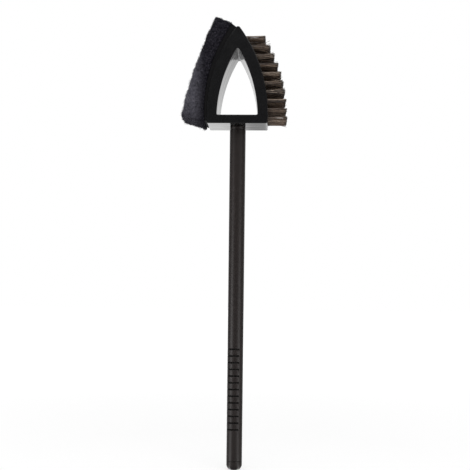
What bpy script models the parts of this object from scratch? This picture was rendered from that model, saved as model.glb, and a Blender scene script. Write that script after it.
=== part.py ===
"""Grill brush with an arch-shaped head, bristles on one side and a scouring pad on the other.

Lengths are in metres. The handle's end stands on z = 0 and its axis is the Z axis. The head's front
faces -Y, the bristles point along +X and the pad is on the -X side. Heights on the head are counted
from its flat underside.
"""

import math
from collections import namedtuple

import bmesh
import bpy
import numpy as np

# Clearances shared by all pieces, and the bend in degrees from which a round piece's edge is sharp
GAP = 0.0003
OVERRUN = 0.001
EMBED = 0.0005
LEAST_RADIUS = 0.0002
SHARP_BEND = 30

# Arch-shaped head: outer outline
HEAD_DEPTH = 0.052
HEAD_HALF_WIDTH = 0.0356
HEAD_ARC_RADIUS = 0.1732
HEAD_ARC_HEIGHT = 0.0115
HEAD_TIP_RADIUS = 0.003
HEAD_CORNER_RADIUS = 0.0015
HEAD_EDGE_BEVEL = 0.0006

# Opening through the head, which narrows towards the back
HOLE_HALF_WIDTH = 0.0240
HOLE_ARC_RADIUS = 0.1595
HOLE_ARC_HEIGHT = 0.0054
HOLE_TIP_RADIUS = 0.0012
HOLE_BACK_TIP_RADIUS = 0.0021
HOLE_CORNER_RADIUS = 0.0018
HOLE_DRAFT = 0.0011
WEB_HEIGHT = 0.0101

# Shell and its back cover
SHELL_WALL = 0.0022
COVER_THICKNESS = 0.0020
RIB_THICKNESS = 0.0016
RIB_DEPTH = 0.024
RIB_HEIGHT_SHARES = (0.117, 0.341, 0.557, 0.799)
RIB_WALL_SHARE = 0.25

# Cover screws and the bosses that take them
SCREW_SHANK_RADIUS = 0.0013
SCREW_LENGTH = 0.012
SCREW_HEAD_RADIUS = 0.0026
SCREW_HEAD_HEIGHT = 0.0009
SCREW_SLOT_LENGTH = 0.0030
SCREW_SLOT_WIDTH = 0.0007
SCREW_SLOT_DEPTH = 0.0005
BOSS_RADIUS = 0.0028
TIP_BOSS_MARGIN = 0.0174
SIDE_BOSS_HEIGHT = 0.050
SIDE_BOSS_OFFSET = 0.0250
WEB_BOSS_OFFSET = 0.0200

# Brush block and its tuft rows
ROW_COUNT = 10
LOWEST_ROW_HEIGHT = 0.0064
LOWEST_ROW_MARGIN = 0.0035
TOP_ROW_MARGIN = 0.0121
WINDOW_HALF_DEPTH = 0.0222
BLOCK_THICKNESS = 0.0045
BLOCK_SHOULDER = 0.0008
LUG_HALF_HEIGHT = 0.0045
COLUMN_COUNT = 5
COLUMN_PITCH = 0.0088
TUFT_TOP_LENGTH = 0.0228
TUFT_LOW_LENGTH = 0.0236
TUFT_ROOT_RING = 0.0017
TUFT_TIP_RING = 0.0019
TUFT_FLARE_POWER = 1.6
RING_STRANDS = 6
STRAND_ROOT_RADIUS = 0.0006
STRAND_TIP_RADIUS = 0.0007
STRAND_SIDES = 3
STRAND_SPANS = 2

# Pad, its carrier and the runners that hold the carrier on the shell
CARRIER_LOW_HEIGHT = 0.0030
CARRIER_TOP_MARGIN = 0.0008
CARRIER_LOW_THICKNESS = 0.0022
CARRIER_TOP_THICKNESS = 0.0055
CARRIER_DEPTH = 0.0512
RUNNER_HEIGHT_SHARES = (0.225, 0.682)
RUNNER_NECK_WIDTH = 0.0040
RUNNER_HEAD_WIDTH = 0.0080
RUNNER_HEAD_THICKNESS = 0.0016
RUNNER_STOP = 0.0060
PAD_LOW_REACH = 0.0660
PAD_LOW_HEIGHT = 0.0086
PAD_HIGH_REACH = 0.0265
PAD_HIGH_HEIGHT = 0.1265
PAD_INNER_LOW_HEIGHT = 0.0010
PAD_INNER_TOP_MARGIN = 0.0
PAD_FACE_RADIUS = 0.556
PAD_EDGE_RADIUS = 0.0014

# Handle tube and its end cap
TUBE_LENGTH = 0.3885
TUBE_TOP_RADIUS = 0.0094
TUBE_END_RADIUS = 0.0091
TUBE_BORE_RADIUS = 0.0066
TUBE_CHAMFER = 0.0005
GROOVE_COUNT = 13
GROOVE_PITCH = 0.00775
LOWEST_GROOVE_HEIGHT = 0.0470
GROOVE_WIDTH = 0.0022
GROOVE_FLANK = 0.0006
GROOVE_DEPTH = 0.0007
CAP_HEIGHT = 0.0105
CAP_DOME_HEIGHT = 0.0066
CAP_FLAT_RADIUS = 0.0033
CAP_SPIGOT_LENGTH = 0.015

# Neck: top plug with its screw thread, washer and socket
PLUG_SPIGOT_LENGTH = 0.020
NECK_GROOVE_HEIGHT = 0.0006
NECK_GROOVE_RADIUS = 0.0087
COLLAR_HEIGHT = 0.0016
COLLAR_RADIUS = 0.0092
COLLAR_CHAMFER = 0.0003
THREAD_RADIUS = 0.0065
THREAD_DEPTH = 0.0009
THREAD_PITCH = 0.004
WASHER_THICKNESS = 0.0008
WASHER_RADIUS = 0.0091
SOCKET_NECK_RADIUS = 0.0085
SOCKET_FLANGE_HALF = 0.0110
SOCKET_CORNER_RADIUS = 0.0020

# Smooth strips between the ends of the grip grooves: their bearings, counted from the front (-Y)
# towards +X, and their widths, in degrees
BROAD_STRIP_BEARING = 66
BROAD_STRIP_WIDTH = 56
NARROW_STRIP_BEARING = 252
NARROW_STRIP_WIDTH = 24
STRIP_FADE = 12

# Steps of the faceted curves
CORNER_STEPS = 2
SIDE_STEPS = 18
TIP_STEPS = 3
FLOOR_STEPS = 6
ROUND_SIDES = 32
SCREW_SIDES = 12
DOME_STEPS = 6
THREAD_ROWS = 16
SLICE_STEPS = 2
BLOCK_STEPS = 12
CARRIER_STEPS = 16
PAD_STEPS = 12
PAD_EDGE_SEGMENTS = 2

Arch = namedtuple("Arch", "radius half_width centre_height floor tip corner")
HEAD_OUTLINE = Arch(
    HEAD_ARC_RADIUS, HEAD_HALF_WIDTH, HEAD_ARC_HEIGHT, 0.0, HEAD_TIP_RADIUS, HEAD_CORNER_RADIUS
)
HOLE_OUTLINE = Arch(
    HOLE_ARC_RADIUS, HOLE_HALF_WIDTH, HOLE_ARC_HEIGHT, WEB_HEIGHT, HOLE_TIP_RADIUS, HOLE_CORNER_RADIUS
)

# Places worked out from the sizes above
FRONT = -HEAD_DEPTH / 2
BACK = HEAD_DEPTH / 2
COVER_FACE = BACK - COVER_THICKNESS
SHELL_RIM = COVER_FACE - GAP
CAVITY_FLOOR = FRONT + SHELL_WALL
TUBE_BOTTOM = CAP_HEIGHT + GAP
TUBE_TOP = TUBE_BOTTOM + TUBE_LENGTH
COLLAR_BOTTOM = TUBE_TOP + GAP + NECK_GROOVE_HEIGHT
COLLAR_TOP = COLLAR_BOTTOM + COLLAR_HEIGHT
WASHER_BOTTOM = COLLAR_TOP + GAP
HEAD_BASE = WASHER_BOTTOM + WASHER_THICKNESS + GAP
SOCKET_TOP = WEB_HEIGHT - SHELL_WALL - GAP
BORE_RADIUS = THREAD_RADIUS + GAP
HEAD_ARM = HEAD_ARC_RADIUS - HEAD_HALF_WIDTH
TIP_RISE = math.sqrt((HEAD_ARC_RADIUS - HEAD_TIP_RADIUS) ** 2 - HEAD_ARM**2)
HEAD_HEIGHT = HEAD_ARC_HEIGHT + TIP_RISE + HEAD_TIP_RADIUS
ROW_PITCH = (HEAD_HEIGHT - TOP_ROW_MARGIN - LOWEST_ROW_HEIGHT) / (ROW_COUNT - 1)
WINDOW_LOW = LOWEST_ROW_HEIGHT - LOWEST_ROW_MARGIN
WINDOW_TOP = HEAD_HEIGHT - TOP_ROW_MARGIN + ROW_PITCH / 2
TIP_BOSS_HEIGHT = HEAD_HEIGHT - TIP_BOSS_MARGIN
CARRIER_TOP_HEIGHT = HEAD_HEIGHT - CARRIER_TOP_MARGIN
PAD_INNER_TOP_HEIGHT = HEAD_HEIGHT - PAD_INNER_TOP_MARGIN
RUNNER_HEIGHTS = [share * HEAD_HEIGHT for share in RUNNER_HEIGHT_SHARES]
RIB_HEIGHTS = [share * HEAD_HEIGHT for share in RIB_HEIGHT_SHARES]


def clear_scene():
    """Removes every object that the file opened with."""
    for thing in list(bpy.data.objects):
        bpy.data.objects.remove(thing, do_unlink=True)


def make_material(name, colour, roughness, metallic=0.0):
    """A plain Principled material of one colour."""
    material = bpy.data.materials.new(name)
    material.use_nodes = True
    shader = material.node_tree.nodes["Principled BSDF"]
    shader.inputs["Base Color"].default_value = (*colour, 1.0)
    shader.inputs["Roughness"].default_value = roughness
    shader.inputs["Metallic"].default_value = metallic
    return material


def make_empty(name, height, parent=None):
    """An empty on the handle's axis, which the pieces of one moving group hang from."""
    empty = bpy.data.objects.new(name, None)
    bpy.context.collection.objects.link(empty)
    empty.location = (0.0, 0.0, height)
    empty.parent = parent
    return empty


def make_object(name, shell, parent, material=None):
    """An object from a bmesh whose faces are turned outwards."""
    bmesh.ops.recalc_face_normals(shell, faces=shell.faces)
    mesh = bpy.data.meshes.new(name)
    shell.to_mesh(mesh)
    shell.free()
    thing = bpy.data.objects.new(name, mesh)
    bpy.context.collection.objects.link(thing)
    thing.parent = parent
    if material is not None:
        mesh.materials.append(material)
    return thing


def add_loft(shell, loops, closed):
    """Skins a row of closed loops with quads. A closed loft joins its last loop to its first;
    an open one is capped at both ends."""
    rings = [[shell.verts.new(point) for point in loop] for loop in loops]
    following = rings[1:] + rings[:1] if closed else rings[1:]
    for ring, next_ring in zip(rings, following):
        for k, corner in enumerate(ring):
            after = (k + 1) % len(ring)
            shell.faces.new((corner, ring[after], next_ring[after], next_ring[k]))
    if not closed:
        shell.faces.new(rings[0])
        shell.faces.new(rings[-1])


def add_prism(shell, points, low, high):
    """A straight prism along Y on a closed outline of (x, height) points."""
    add_loft(shell, [at_depth(points, low), at_depth(points, high)], False)


def add_box(shell, low, high):
    """A box between two opposite corners."""
    outline = [(low[0], low[2]), (high[0], low[2]), (high[0], high[2]), (low[0], high[2])]
    add_prism(shell, outline, low[1], high[1])


def at_depth(points, depth):
    """Lays (x, height) points in the plane y = depth."""
    return [(x, depth, height) for x, height in points]


def bearings(sides):
    """The directions of a round piece's corners, once around, half a step off the axes."""
    return (np.arange(sides) + 0.5) * (2 * math.pi / sides)


def ring_about_z(radius, height):
    """A level loop around the handle's axis. The radius is a number or one value for each side."""
    turn = bearings(ROUND_SIDES)
    radius = np.broadcast_to(radius, turn.shape)
    return [(r * math.cos(a), r * math.sin(a), height) for r, a in zip(radius, turn)]


def ring_about_y(centre, radius, depth):
    """An upright loop around an axis along Y through centre, an (x, height) pair."""
    turn = bearings(SCREW_SIDES)
    return [(centre[0] + radius * math.cos(a), depth, centre[1] + radius * math.sin(a)) for a in turn]


def cut_or_join(thing, name, shell, operation, parent):
    """Cuts a hidden tool out of a piece, or joins it on, with a Boolean modifier."""
    tool = make_object(name, shell, parent)
    tool.hide_render = True
    tool.display_type = "WIRE"
    modifier = thing.modifiers.new(name, "BOOLEAN")
    modifier.operation = operation
    modifier.solver = "EXACT"
    modifier.object = tool


def finish_round(thing):
    """Smooth shading with the real edges kept sharp."""
    thing.data.shade_smooth()
    thing.data.set_sharp_from_angle(angle=math.radians(SHARP_BEND))


def inset(arch, by):
    """The same arch with its whole outline moved inwards by a distance, or outwards if it is negative."""
    return Arch(
        arch.radius - by,
        arch.half_width - by,
        arch.centre_height,
        arch.floor + by,
        max(arch.tip - by, LEAST_RADIUS),
        max(arch.corner - by, LEAST_RADIUS),
    )


def outline(arch):
    """The arch as (x, height) points: a flat floor, two arcs that lean together, a rounded tip and
    rounded lower corners. Every arch gets the same number of points, so two of them can be skinned."""
    arm = arch.radius - arch.half_width
    corner_height = arch.floor + arch.corner
    corner_rise = corner_height - arch.centre_height
    corner_x = math.sqrt((arch.radius - arch.corner) ** 2 - corner_rise**2) - arm
    side_start = math.atan2(corner_rise, corner_x + arm)
    tip_rise = math.sqrt((arch.radius - arch.tip) ** 2 - arm**2)
    tip_height = arch.centre_height + tip_rise
    side_end = math.atan2(tip_rise, arm)
    right = []
    for a in np.linspace(-math.pi / 2, side_start, CORNER_STEPS + 1):
        right.append((corner_x + arch.corner * math.cos(a), corner_height + arch.corner * math.sin(a)))
    for a in np.linspace(side_start, side_end, SIDE_STEPS + 1)[1:]:
        right.append((arch.radius * math.cos(a) - arm, arch.centre_height + arch.radius * math.sin(a)))
    for a in np.linspace(side_end, math.pi / 2, TIP_STEPS + 1)[1:]:
        right.append((arch.tip * math.cos(a), tip_height + arch.tip * math.sin(a)))
    left = [(-x, height) for x, height in reversed(right[:-1])]
    floor = [(x, arch.floor) for x in np.linspace(-corner_x, corner_x, FLOOR_STEPS + 1)[1:-1]]
    return right + left + floor


def hole_outline(depth, growth=0.0):
    """The opening at one depth. It narrows and its tip gets rounder from the front to the back."""
    share = (depth - FRONT) / HEAD_DEPTH
    tip = HOLE_TIP_RADIUS + (HOLE_BACK_TIP_RADIUS - HOLE_TIP_RADIUS) * share
    arch = inset(HOLE_OUTLINE, HOLE_DRAFT * share - growth)
    return outline(arch._replace(tip=tip + growth))


def side_reach(arch, height):
    """How far the arch's side is from the middle at a height."""
    rise = height - arch.centre_height
    return math.sqrt(arch.radius**2 - rise**2) - (arch.radius - arch.half_width)


def side_angle(height):
    """The angle of the head's outer arc at a height."""
    return math.asin((height - HEAD_ARC_HEIGHT) / HEAD_ARC_RADIUS)


def right_point(angle, offset):
    """A point a distance outside the head's right arc, at an angle of that arc."""
    radius = HEAD_ARC_RADIUS + offset
    return (radius * math.cos(angle) - HEAD_ARM, HEAD_ARC_HEIGHT + radius * math.sin(angle))


def left_point(angle, offset):
    """The mirror image of right_point."""
    x, height = right_point(angle, offset)
    return (-x, height)


def level_point(height, offset):
    """A point at an exact height on the curve a distance outside the head's right arc."""
    rise = height - HEAD_ARC_HEIGHT
    return (math.sqrt((HEAD_ARC_RADIUS + offset) ** 2 - rise**2) - HEAD_ARM, height)


def level_band(low, high, inner, outer, steps):
    """An outline between two levels and two offsets from the head's right arc."""
    levels = np.linspace(low, high, steps + 1)
    outside = [level_point(height, outer) for height in levels]
    inside = [level_point(height, inner) for height in levels[::-1]]
    return outside + inside


def runner_outline(height, corners):
    """Places an outline given along and outwards from the left arc at a height."""
    angle = side_angle(height)
    foot = left_point(angle, 0.0)
    along = (math.sin(angle), math.cos(angle))
    outwards = (-math.cos(angle), math.sin(angle))
    return [
        (foot[0] + u * along[0] + v * outwards[0], foot[1] + u * along[1] + v * outwards[1])
        for u, v in corners
    ]


def lug_reach():
    """How far out the block's lug starts, clear of the opening's wall."""
    return side_reach(inset(HOLE_OUTLINE, -SHELL_WALL - GAP), SIDE_BOSS_HEIGHT - LUG_HALF_HEIGHT)


def screw_places():
    """The (x, height) places of the five cover screws: tip, web, left side and brush block."""
    web = (WEB_HEIGHT + HOLE_DRAFT / 2) / 2
    block = (lug_reach() + side_reach(inset(HEAD_OUTLINE, SHELL_WALL + GAP), SIDE_BOSS_HEIGHT)) / 2
    return {
        "tip": (0.0, TIP_BOSS_HEIGHT),
        "web_left": (-WEB_BOSS_OFFSET, web),
        "web_right": (WEB_BOSS_OFFSET, web),
        "side": (-SIDE_BOSS_OFFSET, SIDE_BOSS_HEIGHT),
        "block": (block, SIDE_BOSS_HEIGHT),
    }


def make_head_shell(head, material):
    """The moulded arch: a front face, outer and inner walls, and an open back."""
    bevel = HEAD_EDGE_BEVEL
    outer_cavity = outline(inset(HEAD_OUTLINE, SHELL_WALL))
    loops = [
        at_depth(hole_outline(SHELL_RIM), SHELL_RIM),
        at_depth(hole_outline(FRONT + bevel), FRONT + bevel),
        at_depth(hole_outline(FRONT, bevel), FRONT),
        at_depth(outline(inset(HEAD_OUTLINE, bevel)), FRONT),
        at_depth(outline(HEAD_OUTLINE), FRONT + bevel),
        at_depth(outline(HEAD_OUTLINE), SHELL_RIM),
        at_depth(outer_cavity, SHELL_RIM),
        at_depth(outer_cavity, CAVITY_FLOOR),
        at_depth(hole_outline(CAVITY_FLOOR, SHELL_WALL), CAVITY_FLOOR),
        at_depth(hole_outline(SHELL_RIM, SHELL_WALL), SHELL_RIM),
    ]
    shell = bmesh.new()
    add_loft(shell, loops, True)
    thing = make_object("head_shell", shell, head, material)

    additions = bmesh.new()
    add_shell_ribs(additions)
    for place in ("tip", "web_left", "web_right", "side"):
        centre = screw_places()[place]
        post = [
            ring_about_y(centre, BOSS_RADIUS, CAVITY_FLOOR - EMBED),
            ring_about_y(centre, BOSS_RADIUS, SHELL_RIM),
        ]
        add_loft(additions, post, False)
    cut_or_join(thing, "shell_ribs_and_bosses", additions, "UNION", head)

    cuts = bmesh.new()
    window = level_band(WINDOW_LOW, WINDOW_TOP, -SHELL_WALL - OVERRUN, OVERRUN, BLOCK_STEPS)
    add_prism(cuts, window, -WINDOW_HALF_DEPTH, WINDOW_HALF_DEPTH)
    half_neck = RUNNER_NECK_WIDTH / 2 + GAP
    for height in RUNNER_HEIGHTS:
        corners = [
            (-half_neck, -SHELL_WALL - OVERRUN),
            (half_neck, -SHELL_WALL - OVERRUN),
            (half_neck, OVERRUN),
            (-half_neck, OVERRUN),
        ]
        slot = runner_outline(height, corners)
        add_prism(cuts, slot, FRONT + RUNNER_STOP - GAP, SHELL_RIM + OVERRUN)
    socket_hole = [
        ring_about_z(SOCKET_NECK_RADIUS + GAP, -OVERRUN),
        ring_about_z(SOCKET_NECK_RADIUS + GAP, SHELL_WALL + EMBED),
    ]
    add_loft(cuts, socket_hole, False)
    cut_or_join(thing, "shell_slots_and_window", cuts, "DIFFERENCE", head)

    pilots = bmesh.new()
    for place in ("tip", "web_left", "web_right", "side"):
        add_pilot(pilots, screw_places()[place], SHELL_RIM)
    cut_or_join(thing, "shell_pilot_holes", pilots, "DIFFERENCE", head)
    return thing


def add_shell_ribs(shell):
    """Cross ribs on the pad side and the two ribs that hold the socket in the web."""
    half = RIB_THICKNESS / 2
    deep = CAVITY_FLOOR + RIB_DEPTH
    for height in RIB_HEIGHTS:
        outer = side_reach(HEAD_OUTLINE, height) - SHELL_WALL / 2
        if height + half < HOLE_OUTLINE.centre_height + HOLE_ARC_RADIUS * math.sin(hole_tip_angle()):
            inner = side_reach(HOLE_OUTLINE, height) + SHELL_WALL * RIB_WALL_SHARE
        else:
            inner = HOLE_TIP_RADIUS
        low = (-outer, CAVITY_FLOOR - EMBED, height - half)
        high = (-inner, deep, height + half)
        add_box(shell, low, high)
    for side in (-1, 1):
        near = side * (SOCKET_FLANGE_HALF + GAP)
        far = side * (SOCKET_FLANGE_HALF + GAP + RIB_THICKNESS)
        low = (min(near, far), CAVITY_FLOOR - EMBED, SHELL_WALL - EMBED)
        high = (max(near, far), SOCKET_FLANGE_HALF, WEB_HEIGHT - SHELL_WALL + EMBED)
        add_box(shell, low, high)


def hole_tip_angle():
    """The angle of the opening's arc where the opening is as wide as its wall is thick."""
    arm = HOLE_ARC_RADIUS - HOLE_HALF_WIDTH
    return math.acos((arm + SHELL_WALL) / HOLE_ARC_RADIUS)


def add_pilot(shell, centre, mouth):
    """A screw's pilot hole, open at its mouth."""
    depth = mouth - SCREW_LENGTH - GAP
    radius = SCREW_SHANK_RADIUS + GAP
    ends = [ring_about_y(centre, radius, depth), ring_about_y(centre, radius, mouth + OVERRUN)]
    add_loft(shell, ends, False)


def make_back_cover(head, material):
    """The flat plate that closes the shell, with notches for the pad's runners."""
    bevel = HEAD_EDGE_BEVEL
    loops = [
        at_depth(outline(HEAD_OUTLINE), COVER_FACE),
        at_depth(outline(HEAD_OUTLINE), BACK - bevel),
        at_depth(outline(inset(HEAD_OUTLINE, bevel)), BACK),
        at_depth(hole_outline(BACK, bevel), BACK),
        at_depth(hole_outline(BACK - bevel), BACK - bevel),
        at_depth(hole_outline(COVER_FACE), COVER_FACE),
    ]
    shell = bmesh.new()
    add_loft(shell, loops, True)
    thing = make_object("back_cover", shell, head, material)

    cuts = bmesh.new()
    for centre in screw_places().values():
        shank = SCREW_SHANK_RADIUS + GAP
        sink = SCREW_HEAD_RADIUS + GAP
        seat = BACK - SCREW_HEAD_HEIGHT - GAP
        loops = [
            ring_about_y(centre, shank, COVER_FACE - OVERRUN),
            ring_about_y(centre, shank, seat),
            ring_about_y(centre, sink, seat),
            ring_about_y(centre, sink, BACK + OVERRUN),
        ]
        add_loft(cuts, loops, False)
    for height in RUNNER_HEIGHTS:
        notch = runner_outline(height, runner_corners(GAP))
        add_prism(cuts, notch, COVER_FACE - OVERRUN, BACK + OVERRUN)
    cut_or_join(thing, "cover_holes", cuts, "DIFFERENCE", head)
    return thing


def runner_corners(clearance):
    """A runner's T shape along and outwards from the arc, grown by a clearance."""
    neck = RUNNER_NECK_WIDTH / 2 + clearance
    head = RUNNER_HEAD_WIDTH / 2 + clearance
    shoulder = -SHELL_WALL - GAP + clearance
    bottom = -SHELL_WALL - GAP - RUNNER_HEAD_THICKNESS - clearance
    top = GAP + EMBED + clearance
    return [
        (-head, bottom),
        (head, bottom),
        (head, shoulder),
        (neck, shoulder),
        (neck, top),
        (-neck, top),
        (-neck, shoulder),
        (-head, shoulder),
    ]


def make_cover_screw(place, head, material):
    """One self-tapping screw with a pan head and a cross slot."""
    x, height = screw_places()[place]
    seat = BACK - SCREW_HEAD_HEIGHT
    end = SHELL_RIM - SCREW_LENGTH
    loops = [
        ring_about_y((x, height), SCREW_SHANK_RADIUS / 2, end),
        ring_about_y((x, height), SCREW_SHANK_RADIUS, end + SCREW_SHANK_RADIUS),
        ring_about_y((x, height), SCREW_SHANK_RADIUS, seat),
        ring_about_y((x, height), SCREW_HEAD_RADIUS, seat),
        ring_about_y((x, height), SCREW_HEAD_RADIUS, BACK - SCREW_HEAD_HEIGHT / 2),
        ring_about_y((x, height), SCREW_HEAD_RADIUS - SCREW_HEAD_HEIGHT / 2, BACK),
    ]
    screw = bmesh.new()
    add_loft(screw, loops, False)
    thing = make_object(f"cover_screw_{place}", screw, head, material)
    finish_round(thing)

    long = SCREW_SLOT_LENGTH / 2
    thin = SCREW_SLOT_WIDTH / 2
    arm = [(long, -thin), (long, thin), (thin, thin)]
    cross = []
    for quarter in range(4):
        for u, v in arm:
            turned = ((u, v), (-v, u), (-u, -v), (v, -u))[quarter]
            cross.append((x + turned[0], height + turned[1]))
    slot = bmesh.new()
    add_prism(slot, cross, BACK - SCREW_SLOT_DEPTH, BACK + OVERRUN)
    cut_or_join(thing, f"screw_slot_{place}", slot, "DIFFERENCE", head)
    return thing


def make_brush_block(head, material):
    """The curved backing behind the window, with a lug that takes one cover screw."""
    outer = -SHELL_WALL - GAP
    low = WINDOW_LOW - BLOCK_SHOULDER + GAP
    high = WINDOW_TOP - BLOCK_SHOULDER
    shell = bmesh.new()
    band = level_band(low, high, outer - BLOCK_THICKNESS, outer, BLOCK_STEPS)
    add_prism(shell, band, CAVITY_FLOOR + GAP, SHELL_RIM)
    thing = make_object("brush_block", shell, head, material)

    lug = bmesh.new()
    inside = side_reach(inset(HEAD_OUTLINE, SHELL_WALL + GAP + BLOCK_THICKNESS / 2), SIDE_BOSS_HEIGHT)
    deep = SHELL_RIM - SCREW_LENGTH - SCREW_HEAD_RADIUS
    low_corner = (lug_reach(), deep, SIDE_BOSS_HEIGHT - LUG_HALF_HEIGHT)
    high_corner = (inside, SHELL_RIM, SIDE_BOSS_HEIGHT + LUG_HALF_HEIGHT)
    add_box(lug, low_corner, high_corner)
    cut_or_join(thing, "block_lug", lug, "UNION", head)
    pilot = bmesh.new()
    add_pilot(pilot, screw_places()["block"], SHELL_RIM)
    cut_or_join(thing, "block_pilot_hole", pilot, "DIFFERENCE", head)
    return thing


def make_tuft_row(row, head, material):
    """One slice of the backing, flush in the window, with its tufts of strands fused on. Row 0 is
    the lowest."""
    centre = LOWEST_ROW_HEIGHT + row * ROW_PITCH
    low = max(centre - ROW_PITCH / 2, WINDOW_LOW) + GAP / 2
    high = centre + ROW_PITCH / 2 - GAP / 2
    if row == 0:
        low += GAP / 2
    if row == ROW_COUNT - 1:
        high -= GAP / 2
    shell = bmesh.new()
    slice_outline = level_band(low, high, -SHELL_WALL, 0.0, SLICE_STEPS)
    add_prism(shell, slice_outline, GAP - WINDOW_HALF_DEPTH, WINDOW_HALF_DEPTH - GAP)
    thing = make_object(f"tuft_row_{row + 1:02d}", shell, head, material)

    strands = bmesh.new()
    rise_share = row / (ROW_COUNT - 1)
    length = TUFT_LOW_LENGTH + (TUFT_TOP_LENGTH - TUFT_LOW_LENGTH) * rise_share
    tip = side_reach(HEAD_OUTLINE, centre) + length
    for column in range(COLUMN_COUNT):
        depth = (column - (COLUMN_COUNT - 1) / 2) * COLUMN_PITCH
        add_tuft(strands, depth, centre, tip)
    cut_or_join(thing, f"strands_{row + 1:02d}", strands, "UNION", head)
    return thing


def add_tuft(shell, depth, height, tip):
    """One strand in the middle and a ring of strands that flares towards the tips."""
    add_strand(shell, depth, height, tip, 0.0, 0.0)
    for bearing in bearings(RING_STRANDS):
        add_strand(shell, depth, height, tip, 1.0, bearing)


def add_strand(shell, depth, height, tip, ring_share, bearing):
    """A thin prism along +X, rooted half-way into the slice. Its distance from the tuft's middle grows
    as a power of the way out."""
    root_height = height + ring_share * TUFT_ROOT_RING * math.sin(bearing)
    root = level_point(root_height, -SHELL_WALL / 2)[0]
    loops = []
    for share in np.linspace(0.0, 1.0, STRAND_SPANS + 1):
        flare = share**TUFT_FLARE_POWER
        ring = ring_share * (TUFT_ROOT_RING + (TUFT_TIP_RING - TUFT_ROOT_RING) * flare)
        radius = STRAND_ROOT_RADIUS + (STRAND_TIP_RADIUS - STRAND_ROOT_RADIUS) * flare
        x = root + (tip - root) * share
        y = depth + ring * math.cos(bearing)
        z = height + ring * math.sin(bearing)
        turn = bearing + np.arange(STRAND_SIDES) * (2 * math.pi / STRAND_SIDES)
        loops.append([(x, y + radius * math.cos(a), z + radius * math.sin(a)) for a in turn])
    add_loft(shell, loops, False)


def carrier_thickness(angle):
    """The carrier is a wedge: thin below and thick near the tip."""
    low = side_angle(CARRIER_LOW_HEIGHT)
    high = side_angle(CARRIER_TOP_HEIGHT)
    share = (angle - low) / (high - low)
    return CARRIER_LOW_THICKNESS + (CARRIER_TOP_THICKNESS - CARRIER_LOW_THICKNESS) * share


def make_pad_carrier(runner, material):
    """The wedge-shaped plate that the pad is bonded to, with two T-shaped runners along Y."""
    low = side_angle(CARRIER_LOW_HEIGHT)
    high = side_angle(CARRIER_TOP_HEIGHT)
    angles = np.linspace(low, high, CARRIER_STEPS + 1)
    inner = [left_point(a, GAP) for a in angles]
    outer = [left_point(a, GAP + carrier_thickness(a)) for a in angles[::-1]]
    shell = bmesh.new()
    add_prism(shell, inner + outer, -CARRIER_DEPTH / 2, CARRIER_DEPTH / 2)
    thing = make_object("pad_carrier", shell, runner, material)
    tongues = bmesh.new()
    for height in RUNNER_HEIGHTS:
        tongue = runner_outline(height, runner_corners(0.0))
        add_prism(tongues, tongue, FRONT + RUNNER_STOP, CARRIER_DEPTH / 2)
    cut_or_join(thing, "carrier_runners", tongues, "UNION", runner)
    return thing


def make_scouring_pad(runner, material):
    """A thick slab: its inner side follows the carrier, its face is a flatter arc, its ends are square."""
    low = side_angle(PAD_INNER_LOW_HEIGHT)
    high = side_angle(PAD_INNER_TOP_HEIGHT)
    inner = []
    for a in np.linspace(low, high, CARRIER_STEPS + 1):
        inner.append(left_point(a, GAP + carrier_thickness(a) + GAP))
    start = np.array((-PAD_HIGH_REACH, PAD_HIGH_HEIGHT))
    end = np.array((-PAD_LOW_REACH, PAD_LOW_HEIGHT))
    chord = end - start
    half = np.linalg.norm(chord) / 2
    towards_head = np.array((-chord[1], chord[0])) / (2 * half)
    centre = (start + end) / 2 + towards_head * math.sqrt(PAD_FACE_RADIUS**2 - half**2)
    spread = math.asin(half / PAD_FACE_RADIUS)
    middle = math.atan2(-towards_head[1], -towards_head[0])
    face = []
    for a in np.linspace(middle - spread, middle + spread, PAD_STEPS + 1):
        face.append((centre[0] + PAD_FACE_RADIUS * math.cos(a), centre[1] + PAD_FACE_RADIUS * math.sin(a)))
    shell = bmesh.new()
    add_prism(shell, inner + face, FRONT, BACK)
    thing = make_object("scouring_pad", shell, runner, material)
    bevel = thing.modifiers.new("soft_edges", "BEVEL")
    bevel.width = PAD_EDGE_RADIUS
    bevel.segments = PAD_EDGE_SEGMENTS
    bevel.limit_method = "ANGLE"
    return thing


def strip_cover(turn):
    """How much of the groove's depth is left at each direction around the handle: 1 in a groove, 0 on
    a smooth strip, with a short ramp between."""
    depth = np.ones(len(turn))
    for bearing, width in (
        (BROAD_STRIP_BEARING, BROAD_STRIP_WIDTH),
        (NARROW_STRIP_BEARING, NARROW_STRIP_WIDTH),
    ):
        direction = math.radians(bearing - 90)
        away = np.abs((turn - direction + math.pi) % (2 * math.pi) - math.pi)
        ramp = (np.degrees(away) - width / 2) / STRIP_FADE
        depth = np.minimum(depth, np.clip(ramp, 0.0, 1.0))
    return depth


def tube_radius(height):
    """The handle's outer radius, which tapers evenly down to its end."""
    share = (height - TUBE_BOTTOM) / TUBE_LENGTH
    return TUBE_END_RADIUS + (TUBE_TOP_RADIUS - TUBE_END_RADIUS) * share


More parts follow.
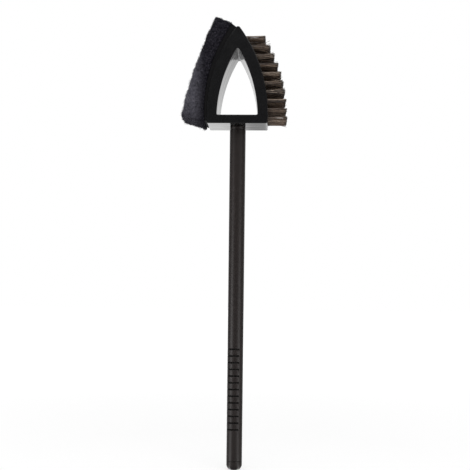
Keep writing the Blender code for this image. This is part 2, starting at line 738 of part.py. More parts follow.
def make_handle_tube(handle, material):
    """The hollow handle with grip grooves that stop at two smooth strips."""
    grooved = strip_cover(bearings(ROUND_SIDES)) * GROOVE_DEPTH
    half = GROOVE_WIDTH / 2
    rows = [(TUBE_BOTTOM, 0.0)]
    for k in range(GROOVE_COUNT):
        middle = LOWEST_GROOVE_HEIGHT + k * GROOVE_PITCH
        rows.append((middle - half, 0.0))
        rows.append((middle - half + GROOVE_FLANK, 1.0))
        rows.append((middle + half - GROOVE_FLANK, 1.0))
        rows.append((middle + half, 0.0))
    rows.append((TUBE_TOP - TUBE_CHAMFER, 0.0))
    loops = [ring_about_z(tube_radius(height) - share * grooved, height) for height, share in rows]
    loops.append(ring_about_z(TUBE_TOP_RADIUS - TUBE_CHAMFER, TUBE_TOP))
    loops.append(ring_about_z(TUBE_BORE_RADIUS, TUBE_TOP))
    loops.append(ring_about_z(TUBE_BORE_RADIUS, TUBE_BOTTOM))
    shell = bmesh.new()
    add_loft(shell, loops, True)
    thing = make_object("handle_tube", shell, handle, material)
    finish_round(thing)
    return thing


def make_end_cap(handle, material):
    """The domed cap that closes the handle, with its spigot in the bore."""
    loops = []
    for a in np.linspace(0.0, math.pi / 2, DOME_STEPS + 1):
        radius = CAP_FLAT_RADIUS + (TUBE_END_RADIUS - CAP_FLAT_RADIUS) * math.sin(a)
        loops.append(ring_about_z(radius, CAP_DOME_HEIGHT * (1.0 - math.cos(a))))
    spigot = TUBE_BORE_RADIUS - GAP
    spigot_top = CAP_HEIGHT + CAP_SPIGOT_LENGTH
    loops.append(ring_about_z(TUBE_END_RADIUS, CAP_HEIGHT))
    loops.append(ring_about_z(spigot, CAP_HEIGHT))
    loops.append(ring_about_z(spigot, spigot_top - TUBE_CHAMFER))
    loops.append(ring_about_z(spigot - TUBE_CHAMFER, spigot_top))
    shell = bmesh.new()
    add_loft(shell, loops, False)
    thing = make_object("handle_end_cap", shell, handle, material)
    finish_round(thing)
    return thing


def thread_ring(height):
    """One level of the screw thread: a rounded ridge that climbs one pitch in each turn."""
    turn = bearings(ROUND_SIDES)
    phase = height / THREAD_PITCH - turn / (2 * math.pi)
    ridge = (1.0 + np.cos(2 * math.pi * phase)) / 2
    return THREAD_RADIUS - THREAD_DEPTH * (1.0 - ridge)


def make_top_plug(handle, material):
    """The plug in the handle's top: spigot, groove, collar and the coarse screw thread."""
    spigot = TUBE_BORE_RADIUS - GAP
    foot = TUBE_TOP - PLUG_SPIGOT_LENGTH
    root = THREAD_RADIUS - THREAD_DEPTH
    thread_top = HEAD_BASE + SOCKET_TOP
    loops = [
        ring_about_z(spigot - COLLAR_CHAMFER, foot),
        ring_about_z(spigot, foot + COLLAR_CHAMFER),
        ring_about_z(spigot, TUBE_TOP + GAP),
        ring_about_z(NECK_GROOVE_RADIUS, TUBE_TOP + GAP),
        ring_about_z(NECK_GROOVE_RADIUS, COLLAR_BOTTOM),
        ring_about_z(COLLAR_RADIUS - COLLAR_CHAMFER, COLLAR_BOTTOM),
        ring_about_z(COLLAR_RADIUS, COLLAR_BOTTOM + COLLAR_CHAMFER),
        ring_about_z(COLLAR_RADIUS, COLLAR_TOP - COLLAR_CHAMFER),
        ring_about_z(COLLAR_RADIUS - COLLAR_CHAMFER, COLLAR_TOP),
        ring_about_z(root, COLLAR_TOP),
    ]
    levels = np.linspace(COLLAR_TOP + WASHER_THICKNESS, thread_top - THREAD_DEPTH, THREAD_ROWS + 1)
    loops += [ring_about_z(thread_ring(height), height) for height in levels]
    loops.append(ring_about_z(root - THREAD_DEPTH, thread_top))
    shell = bmesh.new()
    add_loft(shell, loops, False)
    thing = make_object("handle_top_plug", shell, handle, material)
    finish_round(thing)
    return thing


def make_neck_washer(washer, material):
    """The thin washer between the collar and the head's underside."""
    loops = [
        ring_about_z(WASHER_RADIUS, 0.0),
        ring_about_z(WASHER_RADIUS, WASHER_THICKNESS),
        ring_about_z(BORE_RADIUS, WASHER_THICKNESS),
        ring_about_z(BORE_RADIUS, 0.0),
    ]
    shell = bmesh.new()
    add_loft(shell, loops, True)
    thing = make_object("neck_washer", shell, washer, material)
    finish_round(thing)
    return thing


def rounded_square(half, corner, height):
    """A level loop with the same number of points as a round one. Each point of the corner circle is
    moved out to its quadrant's corner."""
    points = []
    for a in bearings(ROUND_SIDES):
        x = math.copysign(half - corner, math.cos(a)) + corner * math.cos(a)
        y = math.copysign(half - corner, math.sin(a)) + corner * math.sin(a)
        points.append((x, y, height))
    return points


def make_socket_insert(head, material):
    """The bush that the handle screws into: a square flange trapped in the web, and a round neck."""
    flange_bottom = SHELL_WALL + GAP
    loops = [
        ring_about_z(SOCKET_NECK_RADIUS, 0.0),
        ring_about_z(SOCKET_NECK_RADIUS, flange_bottom),
        rounded_square(SOCKET_FLANGE_HALF, SOCKET_CORNER_RADIUS, flange_bottom),
        rounded_square(SOCKET_FLANGE_HALF, SOCKET_CORNER_RADIUS, SOCKET_TOP),
        ring_about_z(BORE_RADIUS, SOCKET_TOP),
        ring_about_z(BORE_RADIUS, 0.0),
    ]
    shell = bmesh.new()
    add_loft(shell, loops, True)
    return make_object("socket_insert", shell, head, material)


def build():
    """Makes every piece, each hung from the empty of the group that it moves with."""
    clear_scene()
    gloss_black = make_material("gloss_black", (0.011, 0.011, 0.012), 0.12)
    handle_black = make_material("handle_black", (0.030, 0.027, 0.026), 0.38)
    matt_black = make_material("matt_black", (0.012, 0.012, 0.013), 0.60)
    pad_fibre = make_material("pad_fibre", (0.022, 0.021, 0.028), 0.95)
    bristle = make_material("bristle", (0.055, 0.043, 0.034), 0.60)
    steel = make_material("steel", (0.55, 0.55, 0.56), 0.35, 1.0)
    brass = make_material("brass", (0.60, 0.45, 0.20), 0.35, 1.0)

    handle = make_empty("handle_group", 0.0)
    washer = make_empty("washer_group", WASHER_BOTTOM, handle)
    head = make_empty("head_group", HEAD_BASE - WASHER_BOTTOM, washer)
    runner = make_empty("pad_group", 0.0, head)

    make_handle_tube(handle, handle_black)
    make_end_cap(handle, handle_black)
    make_top_plug(handle, handle_black)
    make_neck_washer(washer, matt_black)
    make_socket_insert(head, brass)
    make_head_shell(head, gloss_black)
    make_back_cover(head, gloss_black)
    for place in screw_places():
        make_cover_screw(place, head, steel)
    make_brush_block(head, matt_black)
    for row in range(ROW_COUNT):
        make_tuft_row(row, head, bristle)
    make_pad_carrier(runner, matt_black)
    make_scouring_pad(runner, pad_fibre)
    bpy.context.view_layer.update()


build()
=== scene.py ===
"""The looks of the grill brush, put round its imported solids.

Lengths are in metres and angles in degrees, in the frame of the solids: +Z runs up the handle, the
bristles point along +X, the pad is on the -X side and the head's front faces -Y. Heights on the head
are counted from its flat underside.
"""

import math
from collections import namedtuple

import bpy
import numpy as np
from mathutils import Matrix, Vector


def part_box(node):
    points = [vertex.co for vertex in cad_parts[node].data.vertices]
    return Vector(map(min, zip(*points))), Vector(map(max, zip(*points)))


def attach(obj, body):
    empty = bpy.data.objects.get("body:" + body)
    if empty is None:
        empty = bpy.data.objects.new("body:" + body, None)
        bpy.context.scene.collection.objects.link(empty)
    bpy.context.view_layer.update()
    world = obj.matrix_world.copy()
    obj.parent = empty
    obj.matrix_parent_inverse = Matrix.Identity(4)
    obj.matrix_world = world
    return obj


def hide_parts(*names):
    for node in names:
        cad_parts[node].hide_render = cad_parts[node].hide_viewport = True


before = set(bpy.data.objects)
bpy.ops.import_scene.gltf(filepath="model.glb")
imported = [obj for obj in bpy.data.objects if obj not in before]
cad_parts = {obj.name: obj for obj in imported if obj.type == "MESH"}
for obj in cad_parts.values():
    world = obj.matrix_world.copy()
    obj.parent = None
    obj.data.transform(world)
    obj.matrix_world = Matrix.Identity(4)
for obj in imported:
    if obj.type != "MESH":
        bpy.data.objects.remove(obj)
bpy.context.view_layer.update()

scene = bpy.context.scene
scene.view_settings.view_transform = "Standard"

# Camera. It stands about 1.1 m in front of the brush, a little to the right of its handle and level
# with the handle's middle, and looks up by a few degrees.
CAMERA_PLACE = (0.0505, -1.1214, 0.2116)
CAMERA_TURN_LEFT = 2.678
CAMERA_TILT_UP = 3.192
CAMERA_ROLL = 0.652
FOCAL_PIXELS = 950
PHOTO_SIDE_PIXELS = 470
SENSOR_WIDTH_MM = 36.0

lens = bpy.data.cameras.new("camera")
lens.sensor_width = SENSOR_WIDTH_MM
lens.lens = SENSOR_WIDTH_MM * FOCAL_PIXELS / PHOTO_SIDE_PIXELS
camera = bpy.data.objects.new("camera", lens)
scene.collection.objects.link(camera)
turn_left = Matrix.Rotation(math.radians(CAMERA_TURN_LEFT), 4, "Z")
tilt_up = Matrix.Rotation(math.radians(90 + CAMERA_TILT_UP), 4, "X")
roll = Matrix.Rotation(math.radians(CAMERA_ROLL), 4, "Z")
camera.matrix_world = Matrix.Translation(CAMERA_PLACE) @ turn_left @ tilt_up @ roll
scene.camera = camera

# Studio. A pale floor under the handle's end, a room that is white behind the brush, grey at its sides
# and dim behind the camera, a low soft lamp at each side and two wide ones above. In reflections the
# floor glows with tones by bearing, from the front over the left, the back and the right to the front
# again, with a painted shine below each side lamp.
FLOOR_HALF = 8.0
FLOOR_GREY = 0.80
FLOOR_WHITE = 1.1
SHADOW_SHARE = 0.35
SHADOW_NEAR = 0.30
SHADOW_FAR = 1.60
ROOM_WHITE = 1.0
ROOM_TONES = ((0.025, 0.14), (0.30, 0.34), (0.80, 0.28), (0.93, 1.0))
FLOOR_TONES = (
    (0.0, 0.30), (0.11, 0.35), (0.16, 6.5), (0.22, 0.20), (0.36, 0.28), (0.42, 1.0),
    (0.47, 1.4), (0.491, 1.4), (0.4955, 0.58), (0.500, 0.55), (0.507, 1.0), (0.56, 1.0), (0.64, 0.28),
    (0.78, 0.20), (0.85, 4.8), (0.90, 0.35),
)
LAMPS = {
    "left_lamp": {"place": (-1.26, -0.70, 0.13), "size": (0.80, 0.24), "watts": 2.6},
    "right_lamp": {"place": (1.05, -0.96, 0.13), "size": (0.70, 0.24), "watts": 1.5},
    "front_lamp": {"place": (0.15, -1.30, 1.55), "size": (1.60, 1.00), "watts": 14.6},
    "top_lamp": {"place": (0.0, -0.20, 1.90), "size": (1.80, 1.40), "watts": 20.0},
}
LAMP_AIM = (0.0, 0.0, 0.30)


def feed(node, **values):
    """Sets or links input sockets of a shader node. A socket goes by its name, with _ for spaces, or by
    its number after an _."""
    for name, value in values.items():
        socket = node.inputs[int(name[1:]) if name[1:].isdigit() else name.replace("_", " ")]
        if isinstance(value, bpy.types.NodeSocket):
            node.id_data.links.new(value, socket)
        else:
            socket.default_value = value


def add_node(tree, kind, **settings):
    """Adds a shader node of a kind. A setting that isn't the node's own feeds the socket of its name."""
    node = tree.nodes.new("ShaderNode" + kind)
    for name in [name for name in settings if hasattr(node, name)]:
        setattr(node, name, settings.pop(name))
    feed(node, **settings)
    return node


def add_math(tree, operation, *values):
    """The result of one Math node."""
    numbered = {f"_{number}": value for number, value in enumerate(values)}
    return add_node(tree, "Math", operation=operation, **numbered).outputs[0]


def grown(tree, value, factor, start):
    """A value times a factor, plus a start."""
    return add_math(tree, "MULTIPLY_ADD", value, factor, start)


def map_range(tree, value, low, high, to_low=0.0, to_high=1.0):
    """A value carried evenly from one range to another and held at its ends."""
    ends = {"From_Min": low, "From_Max": high, "To_Min": to_low, "To_Max": to_high}
    return add_node(tree, "MapRange", Value=value, **ends).outputs["Result"]


def opaque(colour):
    """A colour, or a grey given by its one tone, with full alpha."""
    return (*np.broadcast_to(colour, 3).tolist(), 1.0)


def mix_colours(tree, share, first, second):
    """A colour that goes from the first to the second as the share goes from 0 to 1."""
    first = first if isinstance(first, bpy.types.NodeSocket) else opaque(first)
    mix = add_node(tree, "Mix", data_type="RGBA", _0=share, _6=first, _7=opaque(second))
    return mix.outputs[2]


def add_ramp(tree, share, stops):
    """A colour that runs through the stops, which are (share, colour) pairs."""
    ramp = add_node(tree, "ValToRGB", Fac=share)
    elements = ramp.color_ramp.elements
    while len(elements) < len(stops):
        elements.new(1.0)
    for element, (place, colour) in zip(elements, stops):
        element.position = place
        element.color = opaque(colour)
    return ramp.outputs["Color"]


world = bpy.data.worlds.new("room")
world.use_nodes = True
scene.world = world
tree = world.node_tree
tree.nodes.clear()
direction = add_node(tree, "TexCoord").outputs["Generated"]
depth = add_node(tree, "SeparateXYZ", Vector=direction).outputs["Y"]
glow = add_ramp(tree, map_range(tree, depth, -1.0, 1.0), ROOM_TONES)
lit = add_node(tree, "Background", Color=glow)
seen = add_node(tree, "Background", Color=opaque(ROOM_WHITE))
rays = add_node(tree, "LightPath").outputs
mix = add_node(tree, "MixShader", _0=rays["Is Camera Ray"], _1=lit.outputs[0], _2=seen.outputs[0])
add_node(tree, "OutputWorld", Surface=mix.outputs[0])

floor_mesh = bpy.data.meshes.new("floor")
corners = [(-1, -1), (1, -1), (1, 1), (-1, 1)]
floor_mesh.from_pydata([(x * FLOOR_HALF, y * FLOOR_HALF, 0) for x, y in corners], [], [(0, 1, 2, 3)])
floor = bpy.data.objects.new("floor", floor_mesh)
scene.collection.objects.link(floor)
floor_paint = bpy.data.materials.new("floor_paint")
floor_paint.use_nodes = True
tree = floor_paint.node_tree
tree.nodes.clear()
paint = add_node(tree, "BsdfDiffuse", Color=opaque(FLOOR_GREY))
place = add_node(tree, "TexCoord").outputs["Object"]
axes = add_node(tree, "SeparateXYZ", Vector=place).outputs
# Painted reflection: in glossy rays the floor glows with tones by bearing, brightest below the side lamps.
bearing = add_math(tree, "ARCTAN2", axes["X"], axes["Y"])
shine = add_ramp(tree, map_range(tree, bearing, -math.pi, math.pi), FLOOR_TONES)
rays = add_node(tree, "LightPath").outputs
shine = mix_colours(tree, rays["Is Camera Ray"], shine, FLOOR_WHITE)
white = add_node(tree, "Emission", Color=shine)
seen = add_math(tree, "MAXIMUM", rays["Is Camera Ray"], rays["Is Glossy Ray"])
distance = add_node(tree, "VectorMath", operation="LENGTH", _0=place).outputs["Value"]
plain = map_range(tree, distance, SHADOW_NEAR, SHADOW_FAR, 1 - SHADOW_SHARE)
share = add_math(tree, "MULTIPLY", seen, plain)
mix = add_node(tree, "MixShader", _0=share, _1=paint.outputs[0], _2=white.outputs[0])
add_node(tree, "OutputMaterial", Surface=mix.outputs[0])
floor_mesh.materials.append(floor_paint)

for name, lamp in LAMPS.items():
    light = bpy.data.lights.new(name, "AREA")
    light.shape = "RECTANGLE"
    light.size, light.size_y = lamp["size"]
    light.energy = lamp["watts"]
    holder = bpy.data.objects.new(name, light)
    scene.collection.objects.link(holder)
    holder.location = lamp["place"]
    away = holder.location - Vector(LAMP_AIM)
    holder.rotation_euler = away.to_track_quat("Z", "Y").to_euler()

# Handle tube. A hollow moulding of satin black plastic, a little thicker towards its top. Thirteen
# grip grooves go round its lower half and stop at two smooth strips, where the mould's halves met.
CAP_HEIGHT = 0.0105
SEAM = 0.0003
TUBE_LENGTH = 0.3885
TUBE_TOP_RADIUS = 0.0094
TUBE_END_RADIUS = 0.0091
TUBE_BORE_RADIUS = 0.0066
TUBE_EDGE_RADII = (0.0002, 0.0005, 0.0003, 0.0002)
TUBE_SIDES = 160
GROOVE_COUNT = 13
GROOVE_PITCH = 0.00775
LOWEST_GROOVE_HEIGHT = 0.0470
GROOVE_WIDTH = 0.0022
GROOVE_FLANK = 0.0006
GROOVE_DEPTH = 0.0007
GROOVE_ROWS = 13
SMOOTH_STRIPS = ((-24, 56), (162, 24))
STRIP_FADE = 12
PLAIN_ROWS = 40
EDGE_STEPS = 5
SHARP_ANGLE = 35
TUBE_BOTTOM = CAP_HEIGHT + SEAM
TUBE_TOP = TUBE_BOTTOM + TUBE_LENGTH


def add_group(name, inputs, outputs):
    """A shader node group with numbers at its sockets, and its two ends."""
    group = bpy.data.node_groups.new(name, "ShaderNodeTree")
    for socket, value in inputs.items():
        face = group.interface.new_socket(socket, in_out="INPUT", socket_type="NodeSocketFloat")
        face.default_value = value
    for socket in outputs:
        group.interface.new_socket(socket, in_out="OUTPUT", socket_type="NodeSocketFloat")
    return group, group.nodes.new("NodeGroupInput").outputs, group.nodes.new("NodeGroupOutput")


def add_noise(tree, scale, detail, squeeze=None):
    """Noise from 0 to 1 on the piece's own coordinates, which a squeeze multiplies along each axis."""
    place = add_node(tree, "TexCoord").outputs["Object"]
    if squeeze:
        squeezed = add_node(tree, "VectorMath", operation="MULTIPLY", _0=place, _1=squeeze)
        place = squeezed.outputs["Vector"]
    return add_node(tree, "TexNoise", Vector=place, Scale=scale, Detail=detail).outputs["Fac"]


def add_bump(tree, height):
    """The normal of a surface raised by a height in metres."""
    return add_node(tree, "Bump", Distance=1.0, Height=height).outputs["Normal"]


def new_paint(name):
    """A new material, its node tree and its Principled shader."""
    paint = bpy.data.materials.new(name)
    paint.use_nodes = True
    return paint, paint.node_tree, paint.node_tree.nodes["Principled BSDF"]


# Moulded skin: the faint grain and slow waves that a plastic surface takes from its mould, the flow
# streaks that run along the walls of a deep mould, and the smears of a few handlings in its roughness.
STREAK_SCALES = (16.0, 75.0, 16.0)

moulded_skin, skin_in, skin_out = add_group(
    "moulded_skin",
    {"Grain Scale": 3000, "Grain Height": 1e-5, "Wave Scale": 60, "Wave Height": 1e-5,
     "Streak Height": 0.0, "Roughness": 0.4, "Roughness Spread": 0.1},
    ("Height", "Roughness", "Tone"),
)
grain = add_noise(moulded_skin, skin_in["Grain Scale"], 2.0)
wave = add_noise(moulded_skin, skin_in["Wave Scale"], 1.0)
smear = add_noise(moulded_skin, add_math(moulded_skin, "MULTIPLY", skin_in["Wave Scale"], 3.0), 4.0)
streak = add_noise(moulded_skin, 1.0, 2.0, STREAK_SCALES)
height = add_math(moulded_skin, "MULTIPLY", grain, skin_in["Grain Height"])
height = grown(moulded_skin, wave, skin_in["Wave Height"], height)
height = grown(moulded_skin, streak, skin_in["Streak Height"], height)
smear_share = add_math(moulded_skin, "SUBTRACT", smear, 0.5)
roughness = grown(moulded_skin, smear_share, skin_in["Roughness Spread"], skin_in["Roughness"])
feed(skin_out, Height=height, Roughness=roughness, Tone=smear)


def moulded_paint(name, dark, light, specular, **skin):
    """A plastic whose colour drifts between two shades under the moulded skin's grain."""
    paint, tree, shader = new_paint(name)
    surface = add_node(tree, "Group", node_tree=moulded_skin, **skin)
    feed(
        shader, Base_Color=mix_colours(tree, surface.outputs["Tone"], dark, light),
        Roughness=surface.outputs["Roughness"], Normal=add_bump(tree, surface.outputs["Height"]),
        Specular_IOR_Level=specular,
    )
    return paint


handle_black = moulded_paint(
    "handle_black", dark=(0.0123, 0.0090, 0.0083), light=(0.0197, 0.0147, 0.0137), specular=0.28,
    Grain_Scale=4200, Grain_Height=1.2e-5, Wave_Scale=70, Wave_Height=4e-5, Roughness=0.40,
    Roughness_Spread=0.14,
)


def columns(*values):
    """Arrays and single numbers side by side, as the coordinates of points or the corners of faces."""
    return np.stack(np.broadcast_arrays(*values), axis=-1)


def turns(sides, ahead=0.0):
    """The angles of the sides of a round piece, moved ahead by a share of a side."""
    return (np.arange(sides) + ahead) * (math.tau / sides)


def ring_faces(rings, sides, closed=False):
    """Quads between rings of corners that are numbered ring after ring. In a closed grid the last ring
    joins the first."""
    ring, side = np.meshgrid(np.arange(rings if closed else rings - 1), np.arange(sides), indexing="ij")
    after = (side + 1) % sides
    here = ring * sides
    above = (ring + 1) % rings * sides
    return columns(here + side, here + after, above + after, above + side).reshape(-1, 4)


def end_faces(rings, sides):
    """The two flat faces that close an open grid's first and last rings."""
    ring = np.arange(sides)[None]
    return [ring[:, ::-1], ring + (rings - 1) * sides]


def turned(radius, height, sides, closed):
    """A round piece from its profile. Each point is its radius along the direction of its side, at its
    height. The radius has one value for each row, or one for each row and side."""
    radius = np.reshape(radius, (len(height), -1))
    turn = turns(sides)
    points = columns(radius * np.cos(turn), radius * np.sin(turn), height[:, None]).reshape(-1, 3)
    faces = [ring_faces(len(height), sides, closed)]
    return points, faces if closed else faces + end_faces(len(height), sides)


def round_off(corners, radii):
    """Replaces each corner of a closed profile by a quadratic curve that starts and ends a radius away
    from it, and returns one row of points for each corner."""
    corners = np.array(corners)
    radii = np.reshape(radii, (-1, 1))
    before = np.roll(corners, 1, axis=0) - corners
    after = np.roll(corners, -1, axis=0) - corners
    start = corners + before * radii / np.linalg.norm(before, axis=1, keepdims=True)
    end = corners + after * radii / np.linalg.norm(after, axis=1, keepdims=True)
    t = np.linspace(0, 1, EDGE_STEPS)[None, :, None]
    return (1 - t) ** 2 * start[:, None] + 2 * t * (1 - t) * corners[:, None] + t**2 * end[:, None]


def make_mesh(name, points, faces, sharp=SHARP_ANGLE):
    """A mesh from an array of points and a list of face arrays, shaded smooth but for edges that bend
    by more than an angle."""
    mesh = bpy.data.meshes.new(name)
    counts = np.concatenate([np.full(len(block), block.shape[1]) for block in faces])
    corners = np.concatenate([block.ravel() for block in faces])
    mesh.vertices.add(len(points))
    mesh.loops.add(len(corners))
    mesh.polygons.add(len(counts))
    mesh.vertices.foreach_set("co", np.asarray(points, np.float32).ravel())
    mesh.loops.foreach_set("vertex_index", corners.astype(np.int32))
    mesh.polygons.foreach_set("loop_start", (np.cumsum(counts) - counts).astype(np.int32))
    mesh.update(calc_edges=True)
    mesh.shade_smooth()
    mesh.set_sharp_from_angle(angle=math.radians(sharp))
    return mesh


def show_piece(mesh, paint, body, slot, *nodes):
    """Shows a finished mesh in place of its solids and on its body. Its slot is not used."""
    piece = bpy.data.objects.new(mesh.name, mesh)
    scene.collection.objects.link(piece)
    mesh.materials.append(paint)
    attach(piece, body)
    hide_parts(*nodes)
    return piece


def tube_radius(height):
    """The handle's radius, which grows evenly from its lower end to its top."""
    return TUBE_END_RADIUS + (TUBE_TOP_RADIUS - TUBE_END_RADIUS) * (height - TUBE_BOTTOM) / TUBE_LENGTH


def ease(share):
    """A share of 0 to 1 with slow starts at both ends, 3 s squared less 2 s cubed."""
    share = np.clip(share, 0, 1)
    return share * share * (3 - 2 * share)


def groove_cover(sides):
    """The share of its depth that a groove has at each side: 0 on the smooth strips, which are (bearing,
    width) pairs, 1 elsewhere, and eased in between."""
    turn = np.arange(sides) * (360 / sides)
    cover = np.ones(sides)
    for bearing, width in SMOOTH_STRIPS:
        away = np.abs((turn - bearing + 180) % 360 - 180)
        cover = np.minimum(cover, ease((away - width / 2) / STRIP_FADE))
    return cover


edges = round_off(
    [
        (TUBE_END_RADIUS, TUBE_BOTTOM),
        (TUBE_TOP_RADIUS, TUBE_TOP),
        (TUBE_BORE_RADIUS, TUBE_TOP),
        (TUBE_BORE_RADIUS, TUBE_BOTTOM),
    ],
    TUBE_EDGE_RADII,
)
middles = LOWEST_GROOVE_HEIGHT + GROOVE_PITCH * np.arange(GROOVE_COUNT)
across = np.linspace(-0.5, 0.5, GROOVE_ROWS) * GROOVE_WIDTH
grooved_levels = (middles[:, None] + across).ravel()
plain_levels = np.linspace(middles[-1] + GROOVE_PITCH, TUBE_TOP - GROOVE_PITCH, PLAIN_ROWS)
levels = np.concatenate([[middles[0] - GROOVE_PITCH], grooved_levels, plain_levels])
wall = columns(tube_radius(levels), levels)
profile = np.concatenate([edges[0], wall, *edges[1:]])
away = np.abs(profile[:, 1:] - middles).min(axis=1)
groove = ease((GROOVE_WIDTH / 2 - away) / GROOVE_FLANK)
groove[len(edges[0]) + len(wall):] = 0
cut = GROOVE_DEPTH * groove[:, None] * groove_cover(TUBE_SIDES)
points, faces = turned(profile[:, :1] - cut, profile[:, 1], TUBE_SIDES, True)
tube = make_mesh("tube", points, faces)
show_piece(tube, handle_black, "handle", "handle_black", "handle_tube")
# Painted shade in the grooves: the faces deep in them take a darker, duller black than the rest of the tube.
groove_painted_shade = moulded_paint(
    "groove_painted_shade", dark=(0.0030, 0.0027, 0.0026), light=(0.0060, 0.0054, 0.0050), specular=0.10,
    Grain_Scale=4200, Grain_Height=3e-5, Wave_Scale=70, Wave_Height=4e-5, Roughness=0.70,
    Roughness_Spread=0.10,
)
tube.materials.append(groove_painted_shade)
face_cut = cut.ravel()[faces[0]].max(axis=1)
tube.polygons.foreach_set("material_index", (face_cut > GROOVE_DEPTH / 2).astype(np.int32))

# End cap. A domed plug of the same plastic, pushed into the tube's end. Its small flat foot has the
# shallow dimple that is left where the plastic was let into the mould.
CAP_DOME_HEIGHT = 0.0066
CAP_FLAT_RADIUS = 0.0033
CAP_SPIGOT_LENGTH = 0.015
CAP_EDGE_RADIUS = 0.0002
CAP_DIMPLE_RADIUS = 0.0014
CAP_DIMPLE_DEPTH = 0.0003
DOME_ROWS = 24
MIDDLE_SHARE = 0.1

lean = np.linspace(0, math.pi / 2, DOME_ROWS)
dome_radius = CAP_FLAT_RADIUS + (TUBE_END_RADIUS - CAP_FLAT_RADIUS) * np.sin(lean)
dome = columns(dome_radius, CAP_DOME_HEIGHT * (1 - np.cos(lean)))
sweep = np.linspace(0, 1, DOME_ROWS)
dimple_radius = CAP_DIMPLE_RADIUS * (MIDDLE_SHARE + (1 - MIDDLE_SHARE) * sweep)
dimple = columns(dimple_radius, CAP_DIMPLE_DEPTH * (1 - ease(sweep)))
spigot_radius = TUBE_BORE_RADIUS - SEAM
rim = round_off(
    [
        (TUBE_END_RADIUS, CAP_DOME_HEIGHT),
        (TUBE_END_RADIUS, CAP_HEIGHT),
        (spigot_radius, CAP_HEIGHT),
        (spigot_radius, CAP_HEIGHT + CAP_SPIGOT_LENGTH),
        (CAP_EDGE_RADIUS, CAP_HEIGHT + CAP_SPIGOT_LENGTH),
    ],
    CAP_EDGE_RADIUS / 2,
)
profile = np.concatenate([dimple, dome, *rim[1:4], rim[4][:1]])
end_cap = make_mesh("end_cap", *turned(*profile.T, TUBE_SIDES, False))
show_piece(end_cap, handle_black, "handle", "handle_black", "handle_end_cap")

# Top plug. It closes the tube's upper end with a groove and a collar, and carries the coarse screw
# that the head is turned onto.
NECK_GROOVE_HEIGHT = 0.0006
NECK_GROOVE_RADIUS = 0.0087
COLLAR_HEIGHT = 0.0016
COLLAR_RADIUS = 0.0092
PLUG_EDGE_RADIUS = 0.0002
THREAD_RADIUS = 0.0065
THREAD_DEPTH = 0.0009
THREAD_PITCH = 0.004
THREAD_ROWS = 72
THREAD_SIDES = 96


def thread_ridge(height, pitch, sides):
    """How far a right-handed screw's thread stands up at each height and side, as half of 1 plus a
    cosine: 1 on its crest and 0 in its root."""
    return (1 + np.cos(math.tau * height[:, None] / pitch - turns(sides))) / 2


head_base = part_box("head_shell")[0].z
plug_foot, plug_end = (corner.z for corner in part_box("handle_top_plug"))
collar_bottom = TUBE_TOP + SEAM + NECK_GROOVE_HEIGHT
collar_top = collar_bottom + COLLAR_HEIGHT
thread_root = THREAD_RADIUS - THREAD_DEPTH
stem = round_off(
    [
        (PLUG_EDGE_RADIUS, plug_foot),
        (spigot_radius, plug_foot),
        (spigot_radius, TUBE_TOP + SEAM),
        (NECK_GROOVE_RADIUS, TUBE_TOP + SEAM),
        (NECK_GROOVE_RADIUS, collar_bottom),
        (COLLAR_RADIUS, collar_bottom),
        (COLLAR_RADIUS, collar_top),
        (thread_root, collar_top),
    ],
    PLUG_EDGE_RADIUS,
)
levels = np.linspace(collar_top + PLUG_EDGE_RADIUS, plug_end, THREAD_ROWS)
radius, height = np.concatenate([stem[0][-1:], *stem[1:-1], columns(thread_root, levels)]).T
ridge = ease(thread_ridge(height, THREAD_PITCH, THREAD_SIDES))
start = ease((height - collar_top) / THREAD_DEPTH)
finish = ease((plug_end - height) / THREAD_DEPTH)
climb = THREAD_DEPTH * ridge * (start * finish)[:, None]
taper = THREAD_DEPTH * ease(1 - (plug_end - height) / THREAD_DEPTH)
threaded = radius[:, None] + climb - taper[:, None]
top_plug = make_mesh("top_plug", *turned(threaded, height, THREAD_SIDES, False))
show_piece(top_plug, handle_black, "handle", "handle_black", "handle_top_plug")

# Neck washer. A thin black nylon ring between the plug's collar and the head's underside.
WASHER_THICKNESS = 0.0008
WASHER_RADIUS = 0.0091
WASHER_BORE_RADIUS = 0.0068
WASHER_EDGE_RADIUS = 0.0002

washer_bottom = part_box("neck_washer")[0].z
edges = round_off(
    [
        (WASHER_RADIUS, washer_bottom),
        (WASHER_RADIUS, washer_bottom + WASHER_THICKNESS),
        (WASHER_BORE_RADIUS, washer_bottom + WASHER_THICKNESS),
        (WASHER_BORE_RADIUS, washer_bottom),
    ],
    WASHER_EDGE_RADIUS,
)
washer = make_mesh("washer", *turned(*np.concatenate(edges).T, THREAD_SIDES, True))
show_piece(washer, handle_black, "washer", "matt_black", "neck_washer")

# Socket insert. The brass bush that the plug's screw turns into. Only its ring shows, in the head's
# underside, once the head is turned up off its washer.
BRASS_MARKS = (900, 3.0, (1.0, 1.0, 12.0))


def metal_paint(name, dark, light, marks, roughness, spread, relief):
    """A bare metal with marks, which are given as a noise's settings. From its low to its high values the
    shade goes from dark to light, the roughness grows by a spread and the surface rises by a relief."""
    paint, tree, shader = new_paint(name)
    mark = add_noise(tree, *marks)
    feed(
        shader, Base_Color=mix_colours(tree, mark, dark, light), Metallic=1.0,
        Roughness=grown(tree, mark, spread, roughness),
        Normal=add_bump(tree, add_math(tree, "MULTIPLY", mark, relief)),
    )
    return paint


brass = metal_paint(
    "brass", dark=(0.50, 0.34, 0.12), light=(0.66, 0.50, 0.24), marks=BRASS_MARKS,
    roughness=0.22, spread=0.20, relief=8e-6,
)
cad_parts["socket_insert"].material_slots[0].material = brass

